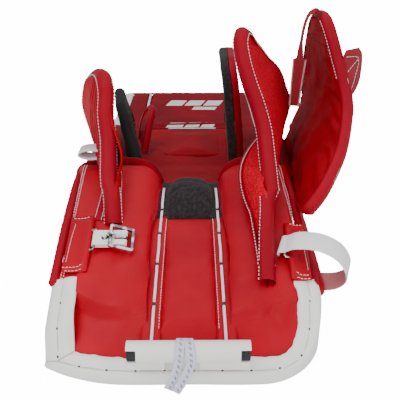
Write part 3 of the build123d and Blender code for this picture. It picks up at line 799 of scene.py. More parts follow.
INNER_CALF_ROWS = [
    (97, -82, -356, -83, -340, 0.35),
    (107, -83, -348, -86, -312, 0.8),
    (123, -86, -328, -92, -258, 1),
    (132, -88, -314, -122, -160, 1),
    (158, -91, -277, -138, -126, 1),
    (184, -95, -258, -134, -128, 1),
    (203, -95, -245, -124, -144, 1),
    (215, -96, -239, -116, -168, 0.9),
    (225, -98, -230, -107, -198, 0.6),
]
OUTER_CALF_ROWS = [
    (75, 80, -434, 77, -416, 0.35),
    (98, 83, -396, 70, -350, 0.8),
    (124, 87, -350, 61, -262, 1),
    (134, 86, -334, 118, -122, 1),
    (152, 85, -304, 132, -100, 1),
    (174, 83, -280, 125, -98, 1),
    (197, 76, -262, 116, -108, 1),
    (220, 67, -246, 98, -130, 1),
    (242, 60, -231, 84, -158, 0.9),
    (260, 57, -218, 72, -182, 0.7),
    (273, 58, -212, 66, -188, 0.5),
]
OUTER_LEG_ROWS = [
    (64, 142, -222, 143, -46, 0.35),
    (84, 138, -226, 152, -48, 0.8),
    (106, 124, -352, 158, -48, 1),
    (130, 144, -346, 168, -44, 1),
    (158, 171, -300, 169, -48, 1),
    (184, 186, -246, 167, -54, 1),
    (210, 184, -222, 165, -62, 1),
    (236, 178, -200, 164, -76, 1),
    (262, 171, -182, 162, -100, 0.9),
    (282, 165, -166, 161, -128, 0.6),
]
INNER_KNEE_ROWS = [
    (88, -92, -30, -94, -10, 0.35),
    (98, -77, -196, -98, 0, 0.8),
    (108, -68, -217, -102, 2, 1),
    (120, -75, -198, -106, 2, 1),
    (132, -81, -182, -108, -4, 1),
    (146, -87, -164, -108, -18, 1),
    (157, -96, -138, -106, -46, 0.7),
]
OUTER_KNEE_ROWS = [
    (67, 66, -110, 68, 60, 0.35),
    (84, 65, -112, 67, 62, 0.9),
    (110, 63, -112, 66, 64, 1),
    (145, 60, -108, 62, 62, 1),
    (175, 57, -102, 58, 52, 1),
    (195, 54, -90, 55, 32, 0.9),
    (206, 53, -72, 54, 6, 0.6),
]
KNEE_FLAP_ROWS = [
    (62, -69, -60, -79, -8, 0.35),
    (80, -66, -46, -78, 8, 1),
    (98, -61, -24, -72, 16, 1),
    (112, -55, -8, -62, 18, 0.7),
]


def calf_bulge(point):
    """The inner calf wrap's padding swells towards the leg low down on its near side."""
    return -9 * math.exp(-((point.z - 146) / 24) ** 2 - ((point.y + 288) / 34) ** 2)


def gathers(wrap):
    """Short gathers in the lining where it is pulled in along the bound edge."""
    def gather(point):
        inset = wrap.tree.find(point)[2]
        reach = smooth(inset / 9) * math.exp(-((inset - 14) / 20) ** 2)
        wander = 3 * noise.noise(point * 0.03)
        return reach * (1.5 * math.sin(point.z / 2.7 + wander) + 0.9 * math.sin(point.z / 1.6 + 2 * wander))
    return gather


def calf_wraps():
    """The two wraps round the lower leg; the inner one's cover has raised seams along its near edge."""
    inner = Wrap("inner_calf_wrap", INNER_CALF_ROWS, -1, 20, outer_puff=0.95)
    inner.sew((red_nylon, red_nylon, crimson_leather), ("red_leather", "dark_red_nylon"), calf_bulge)
    for k, share in enumerate((0.14, 0.24, 0.34, 0.45)):
        seam = ((0.34, 0.9), (0.5, 1), (0.7, 1.05), (0.85, 1.05), (0.93, 1.3))
        path, normals = inner.cover_line([(rise, share * out) for rise, out in seam])
        sweep(f"inner_calf_wrap_seam_{k}", path, normals, rounded(2.2, 2.0), crimson_leather, inner.name)
    outer = Wrap("outer_calf_wrap", OUTER_CALF_ROWS, 1, 20, outer_puff=0.85)
    outer.sew((red_mesh, red_mesh, crimson_leather), ("red_mesh", "red_mesh"))


def leg_wrap():
    """The large white wrap on the outer side."""
    wrap = Wrap("outer_leg_wrap", OUTER_LEG_ROWS, 1, 22, 0.9, 0.66, creases=1.6, rim_half=3, band=5.5)
    # The lining is painted light: a brighter copy of the crimson nylon.
    wrap.sew((white_leather, painted_light_nylon, crimson_leather), ("white_face", "dark_red_nylon"), gathers(wrap),
             stitch_sides=())
    wrap.rim_stitches("edge_stitches_in", -1, lowest=215)


def knee_wraps():
    """The wraps beside the knee and the small flap between them."""
    inner = Wrap("inner_knee_wrap", INNER_KNEE_ROWS, -1, 16)
    inner.sew((crimson_nylon, black_nylon, black_nylon), ("dark_red_nylon", "black_knit"), stitch_sides=())
    outer = Wrap("outer_knee_wrap", OUTER_KNEE_ROWS, 1, 24, rim_half=8.5)
    # The cover is painted shade: a darker copy of the crimson nylon.
    outer.sew((painted_shade_nylon, black_knit, crimson_leather), ("dark_red_nylon", "black_knit"), stitch_sides=(),
              split=black_knit)
    flap = Wrap("knee_flap", KNEE_FLAP_ROWS, -1, 12, creases=0.6)
    flap.face("shell", 1, red_nylon, "red_leather", ("knee_flap",))
    flap.face("padding", -1, red_nylon, "red_leather")
    flap.binding("binding", crimson_leather, "red_leather")
    flap.rim_stitches("stitches", -1)


# ---------------------------------------------------------------- lines of the pad

# (y, z) points from the toe to the thigh, the same lines the frame's solids follow
FACE = [(-540, 0), (-500, 0), (-237, 45), (-20, 0), (380, 0)]
BOLSTER_TOP = [(-510, 28), (-465, 50), (-420, 72), (-340, 96), (-262, 118), (-237, 119)]
TONGUE_TOP = [(-510, 26), (-465, 42), (-420, 58), (-340, 80), (-237, 96)]
CHANNEL_FLOOR = [(-237, 84), (-120, 64), (0, 52), (80, 48)]
SHIN_BOLSTER_TOP = [(-237, 117), (-100, 100), (0, 79), (80, 60)]
THIGH_TOP = [(80, 46), (360, 37)]
CHANNEL_HALF = [(-233, 38), (-200, 48), (-140, 70), (-100, 84), (76, 88)]  # (y, half width)
ROLL_START = -314  # where the ankle roll begins
INNER_OUTER = ((-1, "inner"), (1, "outer"))  # the pad's two sides, with the sign of their x


def lace_x(y):
    """Distance of the grooves from the centre line."""
    return mixed(36, 31, (y + 500) / 263)


def ankle_swell(y):
    """Rise of the knit beside the ankle roll, from 0 at its ends to 1."""
    return math.sin(math.pi * smooth((y - ROLL_START + 5) / 75))


def band(side, near, far):
    """Edges of a strip between two distances from the centre line, on one side of it."""
    return lambda y: sorted((side * near(y), side * far(y)))


def dipping_lace(name, span, count, place, flat, profile, body, replaces):
    """A flat lace through place(y) that dives into its eyelets, flat over a share of its length."""
    path = []
    for step in range(count + 1):
        point = place(mixed(*span, step / count))
        point.z -= 14 * max(abs(2 * step / count - 1) - flat, 0)
        path.append(point)
    sweep(name, path, UP, profile, white_lace, body, replaces)
    return path


# ---------------------------------------------------------------- boot

TOE_SIDE_START = Vector((-137.3, -422, 0))
TOE_SPACING = 2
FRONT_STEPS = 160
TOE_FRONT = curve([
    (-138, -480, 0), (-122, -487.5, 0), (-106, -493, 0), (-84, -498, 0), (-62, -500, 0), (0, -500, 0),
    (72, -500, 0), (94.4, -494.2, 0), (113, -481, 0), (126.4, -460.4, 0), (131, -436.7, 0), (129.9, -422, 0),
], TOE_SPACING)
TOE_INWARD = [UP.cross(t) for t in tangents(TOE_FRONT)]
# Binding profile from the floor over the ridge to its inner edge: inset at the toe's sides, inset at
# its front, height over the bolster at the sides, height over the floor at the front
BINDING_PROFILE = [
    (2.0, 2.0, None, 0.4),
    (0.2, 0.2, None, 3.0),
    (0.0, 0.0, -9.0, 9.0),
    (1.0, 0.4, -6.0, 12.5),
    (4.0, 1.2, -3.0, 14.6),
    (11.4, 2.6, -0.6, 16.6),
    (12.5, 3.4, -1.9, 16.2),
    (13.6, 4.4, -0.2, 17.6),
    (19.0, 9.0, 1.3, 21.0),
    (24.4, 13.6, 1.5, 23.8),
    (25.3, 14.4, 0.2, 22.8),
    (24.0, 13.0, -1.4, 21.2),
    (16.0, 7.0, -3.0, 15.6),
]
MITRE_STATION = 30  # where the side's binding meets the front's


def facing_front(inward):
    """Share by which the toe's edge faces forward."""
    return smooth(1.12 * inward.y - 0.06)


def toe_stations(side_inset, front_inset, wave):
    """Points round the toe at a distance in from its edge, each with the share by which it faces forward."""
    count = len(TOE_FRONT) - 1
    front = []
    for step in range(FRONT_STEPS + 1):
        place = mixed(side_inset * 1.06, count * TOE_SPACING, step / FRONT_STEPS) / TOE_SPACING
        i = min(int(place), count - 1)
        point = TOE_FRONT[i].lerp(TOE_FRONT[i + 1], place - i)
        inward = TOE_INWARD[i].lerp(TOE_INWARD[i + 1], place - i)
        facing = facing_front(inward)
        inset = mixed(side_inset, front_inset, facing)
        inset += wave * (noise.noise(point * 0.055) + 0.6 * noise.noise(point * 0.13))
        front.append((point + inward * inset, facing))
    corner, corner_facing = front[0]
    start = TOE_SIDE_START + Vector((side_inset, 0, 0))
    side = []
    for step in range(MITRE_STATION):
        point = start.lerp(corner, step / MITRE_STATION)
        facing = smooth(1 - (corner - point).length / 16) * corner_facing
        ripple = wave * noise.noise(point * 0.06) * (1 - facing)
        side.append((point + Vector((ripple, 0, 0)), facing))
    return side + front


def toe_line(side_inset, front_inset, over_bolster, over_floor, wave=0.0, uneven=0.0):
    """One line of the binding's profile, all round the toe."""
    line = []
    for point, facing in toe_stations(side_inset, front_inset, wave):
        if over_bolster is None:
            z = height(FACE, point.y) + over_floor
        else:
            z = mixed(height(BOLSTER_TOP, point.y) + over_bolster, over_floor, facing)
        line.append(Vector((point.x, point.y, z + uneven * noise.noise(point * 0.08))))
    return line


def toe_binding():
    """White leather folded over the toe's edge, stitched down along a ridge."""
    lines = []
    for row in BINDING_PROFILE:
        inset = row[0]
        wave = 2.6 if inset > 23 else 0.25 if inset > 11 else 0.0
        uneven = 0.35 if 4 < inset < 20 else 0.0
        lines.append(toe_line(*row, wave, uneven))
    verts = [point for ring in zip(*lines) for point in ring]
    faces = tube_faces(len(lines[0]), len(lines))
    piece("toe_binding_leather", verts, faces, white_leather, "boot", ("toe_binding",))

    seam = toe_line(12.5, 3.4, -1.7, 16.6, 0.25)
    ups = [Vector((0, -0.5, 1)).normalized()] * len(seam)
    stitches("toe_thread", seam, ups, "boot", cream_thread, pitch=27, length=24, width=0.9)
    # Dark dots between the long stitches: painted shade in the stitch holes.
    stitches("toe_stitch_hole_shade", seam[6:], ups, "boot", dark_thread, pitch=27, length=2.6,
             width=1.7)
    mitre = [toe_line(*row)[MITRE_STATION] + UP * 0.15 for row in BINDING_PROFILE[2:10]]
    sweep("toe_mitre_seam", mitre, UP, rounded(1.6, 0.8), cream_thread, "boot")


def tuck_under_binding(obj):
    """Rounds a boot piece down to the toe's edge, so that the binding lies over it."""
    edge = KDTree(len(TOE_FRONT))
    for i, point in enumerate(TOE_FRONT):
        edge.insert(point, i)
    edge.balance()
    sides = [(0, -10), (4, -6), (12, -3.6), (25, -1.0), (34, 12)]
    front = [(0, 7), (4, 13), (14, 20.5), (26, 31), (44, 47), (60, 90)]

    def cap(x, y, z):
        if y > -405:
            return z
        flat = Vector((x, y, 0))
        _, i, away = edge.find(flat)
        if (flat - TOE_FRONT[i]).dot(TOE_INWARD[i]) < 0:
            away = 0
        top = height(BOLSTER_TOP, y)
        level = mixed(top + height(sides, away), height(front, away), facing_front(TOE_INWARD[i]))
        return min(level, top + height(sides, x + 138))

    lower(obj, cap)


def crown(obj, side):
    """Rounds a boot cushion's top down towards its groove and its outer edge."""
    def cap(x, y, z):
        level = height(TONGUE_TOP, y) + 1.0
        if z < level - 8:
            return z
        inset = side * x - lace_x(y) - 3.0
        top = mixed(level, height(BOLSTER_TOP, y) + 1.5, dome(max(inset, 0) / 34))
        edge_x = mixed(137, 135, (y + 480) / 240) if side < 0 else mixed(131, 116, (y + 437) / 196)
        return top - rounding(edge_x - side * x, 9) - 0.6 * rounding(-240 - y, 8)

    lower(obj, cap)


def foam_block():
    """The boot's foam core, cut back round the toe under the leather."""
    core = eased("boot_foam_core", "boot_foam", black_foam, "boot", width=1)
    remesh(core, 6)
    tuck_under_binding(core)
    for vertex in core.data.vertices:
        if vertex.co.y < -400 * MM and vertex.co.z > 12 * MM:
            vertex.co.z -= 2 * MM


def boot_skin():
    """The stuffed leather of the boot's leg side."""
    inner, outer = (
        stuffed(f"{name}_boot_bolster", f"{name}_boot_leather", red_leather)
        for _, name in INNER_OUTER
    )
    for cushion, side in ((inner, -1), (outer, 1)):
        crown(cushion, side)
        tuck_under_binding(cushion)
    tongue = stuffed("boot_tongue", "tongue_leather", red_leather, cap=1.5)
    tuck_under_binding(tongue)
    roll = stuffed("ankle_roll", "ankle_roll_knit", black_knit, cap=4, shrink=-0.12)
    for vertex in roll.data.vertices:
        x, y, z = vertex.co / MM
        if z > height(TONGUE_TOP, y) - 4:
            vertex.co.z -= 0.75 * rounding(30 - abs(x), 26) * MM
    foam_block()
    press(inner, (-84, -458, 52), 17, 3.4)
    press(inner, (-62, -476, 44), 12, 4)
    press(inner, (-60, -300, 108), 34, 3)
    crease(outer, (54, -462), (98, -432), 5, 2.4)
    crease(outer, (58, -440), (84, -410), 7, 1.6)
    press(outer, (62, -330, 98), 40, 3)
    for x, y, tilt, depth in ((-8, -303, 4, 1.2), (6, -292, -6, 2.0), (-4, -282, 5, 1.6), (3, -270, -3, 1.6)):
        crease(roll, (x - 24, y - tilt), (x + 24, y + tilt), 3.2, depth)
    return inner, outer, tongue, roll


def grooves(skin):
    """The seams beside the centre panel: a red welt, black knit at the ankle, thin laces and their ties."""
    def welt_top(x, y):
        away = abs(abs(x) - lace_x(y) - 1)
        return height(TONGUE_TOP, y) - 0.8 - rounding(10 - away, 3)

    def knit_top(x, y):
        return welt_top(x, y) + 4.5 * ankle_swell(y) + folds(x, y, 0.12, 0.8)

    under = (TONGUE_TOP, 7)
    for side, name in INNER_OUTER:
        edges = band(side, lambda y: lace_x(y) - 9, lambda y: lace_x(y) + 11)
        sheet(f"{name}_groove_welt", edges, (-486, ROLL_START), welt_top, under, red_leather,
              "boot", columns=9)
        sheet(f"{name}_groove_knit", edges, (ROLL_START - 5, -244), knit_top, under, black_knit,
              "boot", columns=9)
        for k, span in enumerate([(-489, -441), (-437, -391), (-387, -347), (-343, -306), (-302, -262)]):
            def lace_place(y):
                wander = 0.5 * noise.noise(Vector((y * 0.05, side, k)))
                z = height(TONGUE_TOP, y) + 1.3 + 4 * ankle_swell(y)
                return Vector((side * (lace_x(y) - 0.5 + wander), y, z))

            path = dipping_lace(f"{name}_lace_{k}", span, 16, lace_place, 0.88, rounded(2.9, 1.6), "boot",
                                ("boot_laces",) if side < 0 and k == 0 else ())
            knot = path[-1] + Vector((0, 2, 0.4))
            loop = ((-side * 2.6, -1, -1.0), (0, 0.4, 0.5), (side * 2.8, 1.2, -1.2))
            tie = curve([knot + Vector(p) for p in loop], 0.8)
            sweep(f"{name}_lace_tie_{k}", tie, UP, rounded(2.2, 1.4), dark_thread, "boot")
        marks = [(side * (lace_x(y) - 6.5), y) for y in (-484, -450, -400, -350, ROLL_START - 4)]
        path, normals = skin.lay(marks, 0.3)
        for point, normal in zip(path, normals):
            point.x = side * (lace_x(point.y) - 6.5)
            over_welt = height(TONGUE_TOP, point.y) - 0.2
            if point.z < over_welt:
                point.z = over_welt
                normal.xyz = UP
        stitches(f"{name}_groove_stitches", path, normals, "boot", pitch=3.4, length=2.4, width=0.75)


INNER_LIP = [(-136, -243, 104), (-130, -240, 113), (-105, -239, 119), (-70, -239, 120), (-50, -242, 115),
             (-40, -248, 104), (-37, -252, 95)]
OUTER_LIP = [(117, -243, 104), (110, -240, 113), (92, -239, 118), (66, -239, 120), (50, -242, 116),
             (42, -248, 106), (38, -252, 96)]
INNER_FLANGE = [(-131, -240, 113), (-133, -290, 104), (-134.5, -350, 88), (-135.5, -426, 64)]
OUTER_FLANGE = [(113, -242, 112), (116.5, -290, 103), (121, -350, 87), (126, -426, 63)]
SIDE_ROLL = [(121, -250, 90), (124.5, -300, 80), (129, -360, 66), (132.5, -408, 52), (133, -416, 44)]
SIDE_PIPING = [(124, -300, 86.5), (128, -352, 73.5), (131.5, -404, 58.5)]


def boot_edges(skin):
    """Rolled nylon ends at the ankle, the bound outer flanges, their piping and double seams."""
    for name, line in (("inner", INNER_LIP), ("outer", OUTER_LIP)):
        cord(f"{name}_ankle_lip", line, tube(6.0, 0.8), crimson_nylon, "boot", waves=0.12)
    for name, line, radius in (("inner", INNER_FLANGE, 5.2), ("outer", OUTER_FLANGE, 5.0)):
        cord(f"{name}_flange", line, tube(radius, 0.8), crimson_leather, "boot", waves=0.08)
    cord("boot_side_roll_leather", SIDE_ROLL, tube(6.6), red_leather, "boot",
         ("boot_side_roll",), waves=0.06)
    cord("boot_side_piping", SIDE_PIPING, tube(1.3), white_webbing, "boot")
    for name, inward, marks in (
        ("inner", 1, [(-126, -250), (-127.5, -300), (-128, -350), (-128.5, -420)]),
        ("outer", -1, [(107, -250), (111, -300), (115.5, -350), (119, -420)]),
    ):
        for k, shift in enumerate((0, 2.8)):
            path, normals = skin.lay([(x + inward * shift, y) for x, y in marks], 0.3)
            stitches(f"{name}_flange_stitches_{k}", path, normals, "boot", pitch=3.8, length=2.9, width=0.95)


# ---------------------------------------------------------------- boot hardware

BOOT_SLOPE = math.radians(16.7)
ALONG_BOOT = Vector((0, math.cos(BOOT_SLOPE), math.sin(BOOT_SLOPE)))
OFF_BOOT = Vector((0, -math.sin(BOOT_SLOPE), math.cos(BOOT_SLOPE)))
TAB_LIFT = 5.4
TAB_LENGTH = 78
INNER_TAB, OUTER_TAB = (-106, -381), (105, -392)
RING_WIDTH, RING_RISE = 9, math.radians(25)


def seat(x, y):
    """Middle of a tab's fold."""
    return Vector((x, y, height(BOLSTER_TOP, y) + TAB_LIFT))


def tab(name, node, place, side, width, leathers):
    """Leather flap sewn to the boot along both ends, folded round its ring."""
    origin = seat(*place)
    section = [
        (width, 2.2 - TAB_LIFT), (width - 1, 3.4 - TAB_LIFT), (width * 0.6, 4.4 - TAB_LIFT),
        (6, -0.2), (2.6, 2.9), (0, 3.9), (-2.8, 2.6), (-3.8, 0), (-3.0, -2.6), (0, -3.8),
        (6, 0.6 - TAB_LIFT), (width * 0.6, 0.2 - TAB_LIFT),
    ]
    rows = 27
    verts = []
    for i in range(rows):
        share = i / (rows - 1)
        flat = smooth(min(share, 1 - share) / 0.16)
        for x, z in section:
            low = 0.4 - TAB_LIFT + (1.9 if z > -TAB_LIFT * 0.6 else 0)
            bow = 1.2 * math.sin(math.pi * share) * (1 if x < 3 else 0)
            z = mixed(low, z, 0.25 + 0.75 * flat) + folds(x, share * TAB_LENGTH, 0.07, 0.4)
            across = Vector((side * (x - bow), 0, 0))
            verts.append(origin + across + ALONG_BOOT * (share - 0.5) * TAB_LENGTH + OFF_BOOT * z)
    flap = piece(name, verts, tube_faces(rows, len(section)), tab_leather, "boot", (node,))
    cover = Skin(flap, *leathers)
    x0, x1 = origin.x + side * 1.5, origin.x + side * (width - 1)
    reach = TAB_LENGTH * 0.455
    toe_end, ankle_end = origin.y - reach, origin.y + reach
    for k, y in enumerate((toe_end, toe_end + 4, ankle_end)):
        path, normals = cover.lay([(x0, y), ((x0 + x1) / 2, y - 0.8), (x1, y)], 0.25, 1.5)
        stitches(f"{name}_stitches_{k}", path, normals, "boot", pitch=3.6, length=2.8, width=0.8)
    bend = ((0.72, ankle_end - 9), (0.82, origin.y + 6), (0.88, toe_end + 10))
    path, normals = cover.lay([(mixed(x0, x1, share), y) for share, y in bend], 0.2, 1.5)
    stitches(f"{name}_side_stitches", path, normals, "boot", pitch=2.6, length=2.3, width=0.6)


def hardware(leathers):
    """Tabs, rings, buckle and straps of the boot."""
    tab("inner_ring_flap", "inner_ring_tab", INNER_TAB, -1, 22, leathers)
    tab("outer_ring_flap", "outer_ring_tab", OUTER_TAB, 1, 17, leathers)
    painted(chrome, "inner_ring", "outer_ring", "buckle_frame", "buckle_prong", "buckle_rivet")
    eased("buckle_strap", "buckle_chape", white_leather, "buckle_strap", width=0.8)
    boot_strap()
    path, normals = Skin(*leathers).lay([(-96, -292), (-97, -318), (-99, -347)], 0.4, 2)
    sweep("calf_wrap_anchor", path, normals, rounded(10, 1.6), crimson_leather, "boot")
    for k, shift in enumerate((-3.6, 3.6)):
        row = [p + Vector((shift, 0, 1.1)) for p in path]
        stitches(f"calf_wrap_anchor_stitches_{k}", row, normals, "boot", pitch=3.4, length=2.7, width=0.85)


def boot_strap():
    """Long white strap folded round the outer ring, out past the pad's side and back towards it."""
    out = (Vector((0.95, 0, 0)) - 0.31 * ALONG_BOOT).normalized()
    ring = seat(*OUTER_TAB) + Vector((-RING_WIDTH * math.cos(RING_RISE), 0, 0))
    ring += OFF_BOOT * RING_WIDTH * math.sin(RING_RISE)
    route = [(-2.4, -2.4), (-3.4, 0), (-2.2, 2.4), (2, 4), (12, 12), (34, 17), (55, 10), (67, -7), (67, -22),
             (57, -34), (38, -42)]
    path = curve([ring + out * u + OFF_BOOT * w for u, w in route], 2)
    across = out.cross(OFF_BOOT)
    ups = [across.cross(t).normalized() for t in tangents(path)]
    sweep("boot_strap_leather", path, ups, rounded(25, 2.2), strap_leather, "boot_strap",
          ("boot_strap",))


BRIDGE = Vector((0, -504, 45))
TIE_REACH = 11.2  # of the skate tie from the bridge's middle
# Start, top and end x of the tie's tails, how far forward they stand and how low they hang
TIE_TAILS = {"left": (-5, -8.5, -18.5, 0.0, 17), "right": (-3, 2.5, -11.5, 1.8, 15)}


def toe_bridge():
    """White sleeve round a foam core, and the flat tie that goes round it."""
    eased("toe_bridge_sleeve", "bridge_sleeve", bridge_leather, "boot", width=0.7)
    painted(black_foam, "toe_bridge_core")
    for name, (back_x, top_x, end_x, forward, end_z) in TIE_TAILS.items():
        path, ups = [], []
        for step in range(29):
            angle = math.radians(mixed(-75, 190, step / 28))
            out = Vector((0, math.cos(angle), math.sin(angle)))
            sideways = Vector((mixed(back_x, top_x, step / 28), 0, 0))
            path.append(BRIDGE + sideways + out * (TIE_REACH + forward * smooth((step - 14) / 14)))
            ups.append(out)
        for step in range(1, 13):
            share = step / 12
            swing = math.sin(math.pi * share)
            y = BRIDGE.y - TIE_REACH - forward - 6.5 * share - 1.5 * swing
            path.append(Vector((mixed(top_x, end_x, share) + 1.2 * swing, y, mixed(43, end_z, share))))
            ups.append(Vector((0.25 * math.sin(3 * share), -1, 0.1)).normalized())
        sweep(f"toe_tie_{name}", path, ups, rounded(8.6, 1.2), skate_lace, "toe_tie",
              ("toe_tie",) if name == "left" else ())


# ---------------------------------------------------------------- shin, knee and thigh


def channel(y):
    return height(CHANNEL_HALF, y)


def shin_skin():
    """Leg channel, its padded sides and the knee cradle."""
    def floor_edges(y):
        return -channel(y) - 1, channel(y) + 1

    def floor_top(x, y):
        return height(CHANNEL_FLOOR, y) + folds(x, y, 0.03, 1.2) - 0.5

    # The channel lining is painted light: a brighter copy of the crimson nylon.
    sheet("channel_lining", floor_edges, (-234, 77), floor_top, (CHANNEL_FLOOR, 6), painted_light_nylon, "shin",
          ("channel_liner",))

    def cradle_half(y):
        return 42 - rounding(min(y + 70, 60 - y), 20)

    def cradle_top(x, y):
        inset = min(cradle_half(y) - abs(x), y + 72, 62 - y)
        wrinkles = folds(x, y, 0.05, 0.5) * smooth(inset / 20)
        return height(CHANNEL_FLOOR, y) + 0.4 + 4.5 * smooth(inset / 34) + wrinkles

    # The knee cradle is painted light: a brighter copy of the crimson nylon.
    sheet("knee_cradle_pad", lambda y: (-cradle_half(y), cradle_half(y)), (-70, 60), cradle_top,
          (CHANNEL_FLOOR, 1), painted_light_nylon, "shin", ("knee_cradle",))

    for (side, name), ankle_x, knee_x in zip(INNER_OUTER, (135, 116), (138, 127)):
        def outer_edge(y):
            return mixed(ankle_x, knee_x, (y + 233) / 309)

        def top(x, y):
            share = smooth((abs(x) - channel(y)) / 46)
            level = mixed(height(CHANNEL_FLOOR, y) + 1, height(SHIN_BOLSTER_TOP, y) - 3, share)
            level += 0 if share < 1 else folds(x, y, 0.03, 1.0)
            return level - rounding(outer_edge(y) - abs(x), 12) - 0.8 * rounding(y + 233, 12)

        sheet(f"{name}_shin_padding", band(side, channel, outer_edge), (-233, 76), top, (CHANNEL_FLOOR, 6),
              crimson_nylon, "shin", (f"{name}_shin_bolster",))


def gusset(name, y, start_y, bottom, top, left, right):
    """Soft nylon that closes a break between two sections."""
    corners = [(left, bottom), (right, bottom), (right, top), (left, top)]
    loop = []
    for (x0, z0), (x1, z1) in zip(corners, corners[1:] + corners[:1]):
        loop += [(mixed(x0, x1, step / 12), mixed(z0, z1, step / 12)) for step in range(12)]
    centre_x, centre_z = (left + right) / 2, (bottom + top) / 2
    rows = 9
    verts = []
    for i in range(rows):
        share = i / (rows - 1)
        tuck = 1.6 * math.sin(math.pi * share)
        along = mixed(start_y, 2 * y - start_y, share)
        for x, z in loop:
            x -= math.copysign(tuck, x - centre_x)
            z -= math.copysign(tuck, z - centre_z)
            verts.append((x, along, z))
    made = piece(name, verts, grid_faces(rows, len(loop), closed=True), crimson_nylon, None)
    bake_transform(made)


def outer_wing_gusset():
    """Nylon from the shin section's outer top edge down to the outer leg wrap's hinge."""
    rows, columns = 40, 9
    shares = [j / (columns - 1) for j in range(columns)]
    loop = [(share, 1.2) for share in shares] + [(share, -1.2) for share in reversed(shares)]
    verts = []
    for i in range(rows):
        y = mixed(-236, -52, i / (rows - 1))
        inner = Vector((mixed(112, 122, (y + 236) / 184), y, height(SHIN_BOLSTER_TOP, y) - 6))
        outer = Vector((144.5, y, 72))
        for share, thick in loop:
            point = inner.lerp(outer, share)
            point.z += 7 * math.sin(math.pi * share) + folds(point.x * 2, y, 0.05, 1.2) + thick
            if thick < 0:
                point.z -= 30 * smooth((-222 - y) / 14)
            verts.append(point)
    faces = tube_faces(rows, len(loop))
    made = piece("outer_wing_gusset", verts, faces, crimson_nylon, None)
    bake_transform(made)


def breaks():
    outer_wing_gusset()
    gusset("ankle_gusset", -237, -245, 50, 76, -128, 109)
    gusset("thigh_gusset", 80, 73, 5, 38, -133, 122)


def thigh_skin():
    """Lining, side strips, laces, embroidery and white edge of the thigh rise."""
    def liner_top(x, y):
        fold = 1.6 * math.exp(-((y - 112 - 0.05 * x) / 7) ** 2) - 1.4 * math.exp(-((y - 100) / 6) ** 2)
        inset = min(81 - abs(x), 336 - y, y - 84)
        return height(THIGH_TOP, y) + fold + folds(x, y, 0.025, 0.7) - rounding(inset, 4)

    span, under = (84, 336), (THIGH_TOP, 7.5)
    sheet("thigh_lining", lambda y: (-81, 81), span, liner_top, under, crimson_nylon, "thigh_rise",
          ("thigh_liner",), columns=31)
    for (side, name), outer_x in zip(INNER_OUTER, (120, 110)):
        def strip_top(x, y):
            inset = min(abs(x) - 88, outer_x - abs(x), 336 - y)
            return height(THIGH_TOP, y) - 0.6 - rounding(inset, 4) + folds(x, y, 0.04, 0.4)

        def lace_place(y):
            return Vector((side * 84.6, y, height(THIGH_TOP, y) - 0.4))

        sheet(f"thigh_{name}_strip", band(side, lambda y: 88, lambda y: outer_x), span, strip_top, under,
              crimson_nylon, "thigh_rise", ("thigh_side_panels",) if side < 0 else (),
              columns=11)
        for k in range(5):
            start = 92 + 48 * k
            dipping_lace(f"thigh_{name}_lace_{k}", (start, start + 43), 12, lace_place, 0.85,
                         rounded(4.4, 1.8), "thigh_rise", ("thigh_laces",) if side < 0 and k == 0 else ())
    eased("thigh_edge_binding", "thigh_edge_leather", white_binding, "thigh_rise", width=1.5)
    embroidery()


def embroidery():
    """Generic raised bars in satin stitch where the lining carries its labels."""
    # middle x and y, width and depth of each
    bars = ((-30, 250, 31, 36), (6, 250, 31, 36), (42, 250, 31, 36), (24, 212, 44, 18),
            (-27, 108, 28, 26), (3, 108, 24, 26), (30, 108, 22, 26), (1, 89, 82, 3))
    for k, (x, y, width, depth) in enumerate(bars):
        def edges(row):
            lean = (row - y) * 0.28
            return x - width / 2 + lean, x + width / 2 + lean

        def top(column, row):
            left, right = edges(row)
            inset = min(column - left, right - column, row - y + depth / 2, y + depth / 2 - row)
            return height(THIGH_TOP, row) + folds(column, row, 0.025, 0.7) + 0.7 - rounding(inset, 0.9)

        sheet(f"embroidered_bar_{k}", edges, (y - depth / 2, y + depth / 2), top, (THIGH_TOP, 1),
              satin_thread, "thigh_rise", ("thigh_patch",) if k == 0 else (), columns=15,
              step=1)


def shell_and_core():
    """Face fabric of the three sections, and the plates and foam inside them."""
    tuck_under_binding(eased("boot_face_cover", "boot_face", white_leather, "boot", width=1))
    eased("shin_face_cover", "shin_face", white_leather, "shin")
    eased("thigh_face_cover", "thigh_face", white_leather, "thigh_rise")
    eased("outer_roll", "outer_roll_leather", red_leather, "shin")
    painted(sheet_plastic, "boot_stiffener", "shin_stiffener", "thigh_stiffener")
    painted(black_foam, "shin_foam_core", "thigh_foam_core")


# ---------------------------------------------------------------- wrap straps

BAND_FOLD = 226  # height above which the strap's band loops over the wrap's tip


def band_share(z):
    """Width of the band against its hook end's: narrow where it loops over the wrap's tip."""
    return mixed(0.62, 0.86, (z - 166) / 60) if z < BAND_FOLD else 0.5


def strap_over_wrap():
    """The hook-and-loop strap over the outer leg wrap, with its pink edges."""
    path = curve([(160, -162, 281), (154, -160, 285), (147, -158, 281), (142, -158, 267), (139.5, -158, 247),
                  (138.5, -160, 226), (136.5, -162, 200), (134.5, -164, 166)], 2)
    ups = []
    for p in path:
        turn = smooth((250 - p.z) / 26)
        ups.append(Vector((-1, -0.25, 0.3)).lerp(Vector((-0.3, -1, 0)), turn).normalized())
    sweep("wrap_strap_band", path, ups, rounded(17, 2.2), crimson_webbing, "wrap_strap",
          ("wrap_strap",), [band_share(p.z) for p in path])
    low = [(p, up, t) for p, up, t in zip(path, ups, tangents(path)) if p.z < BAND_FOLD]
    for side, name in ((-1, "a"), (1, "b")):
        edge = [p + t.cross(up).normalized() * side * (8.5 * band_share(p.z) + 0.3) for p, up, t in low]
        sweep(f"wrap_strap_edge_{name}", edge, [up for _, up, _ in low], rounded(2.4, 3.6), pink_webbing,
              "wrap_strap")


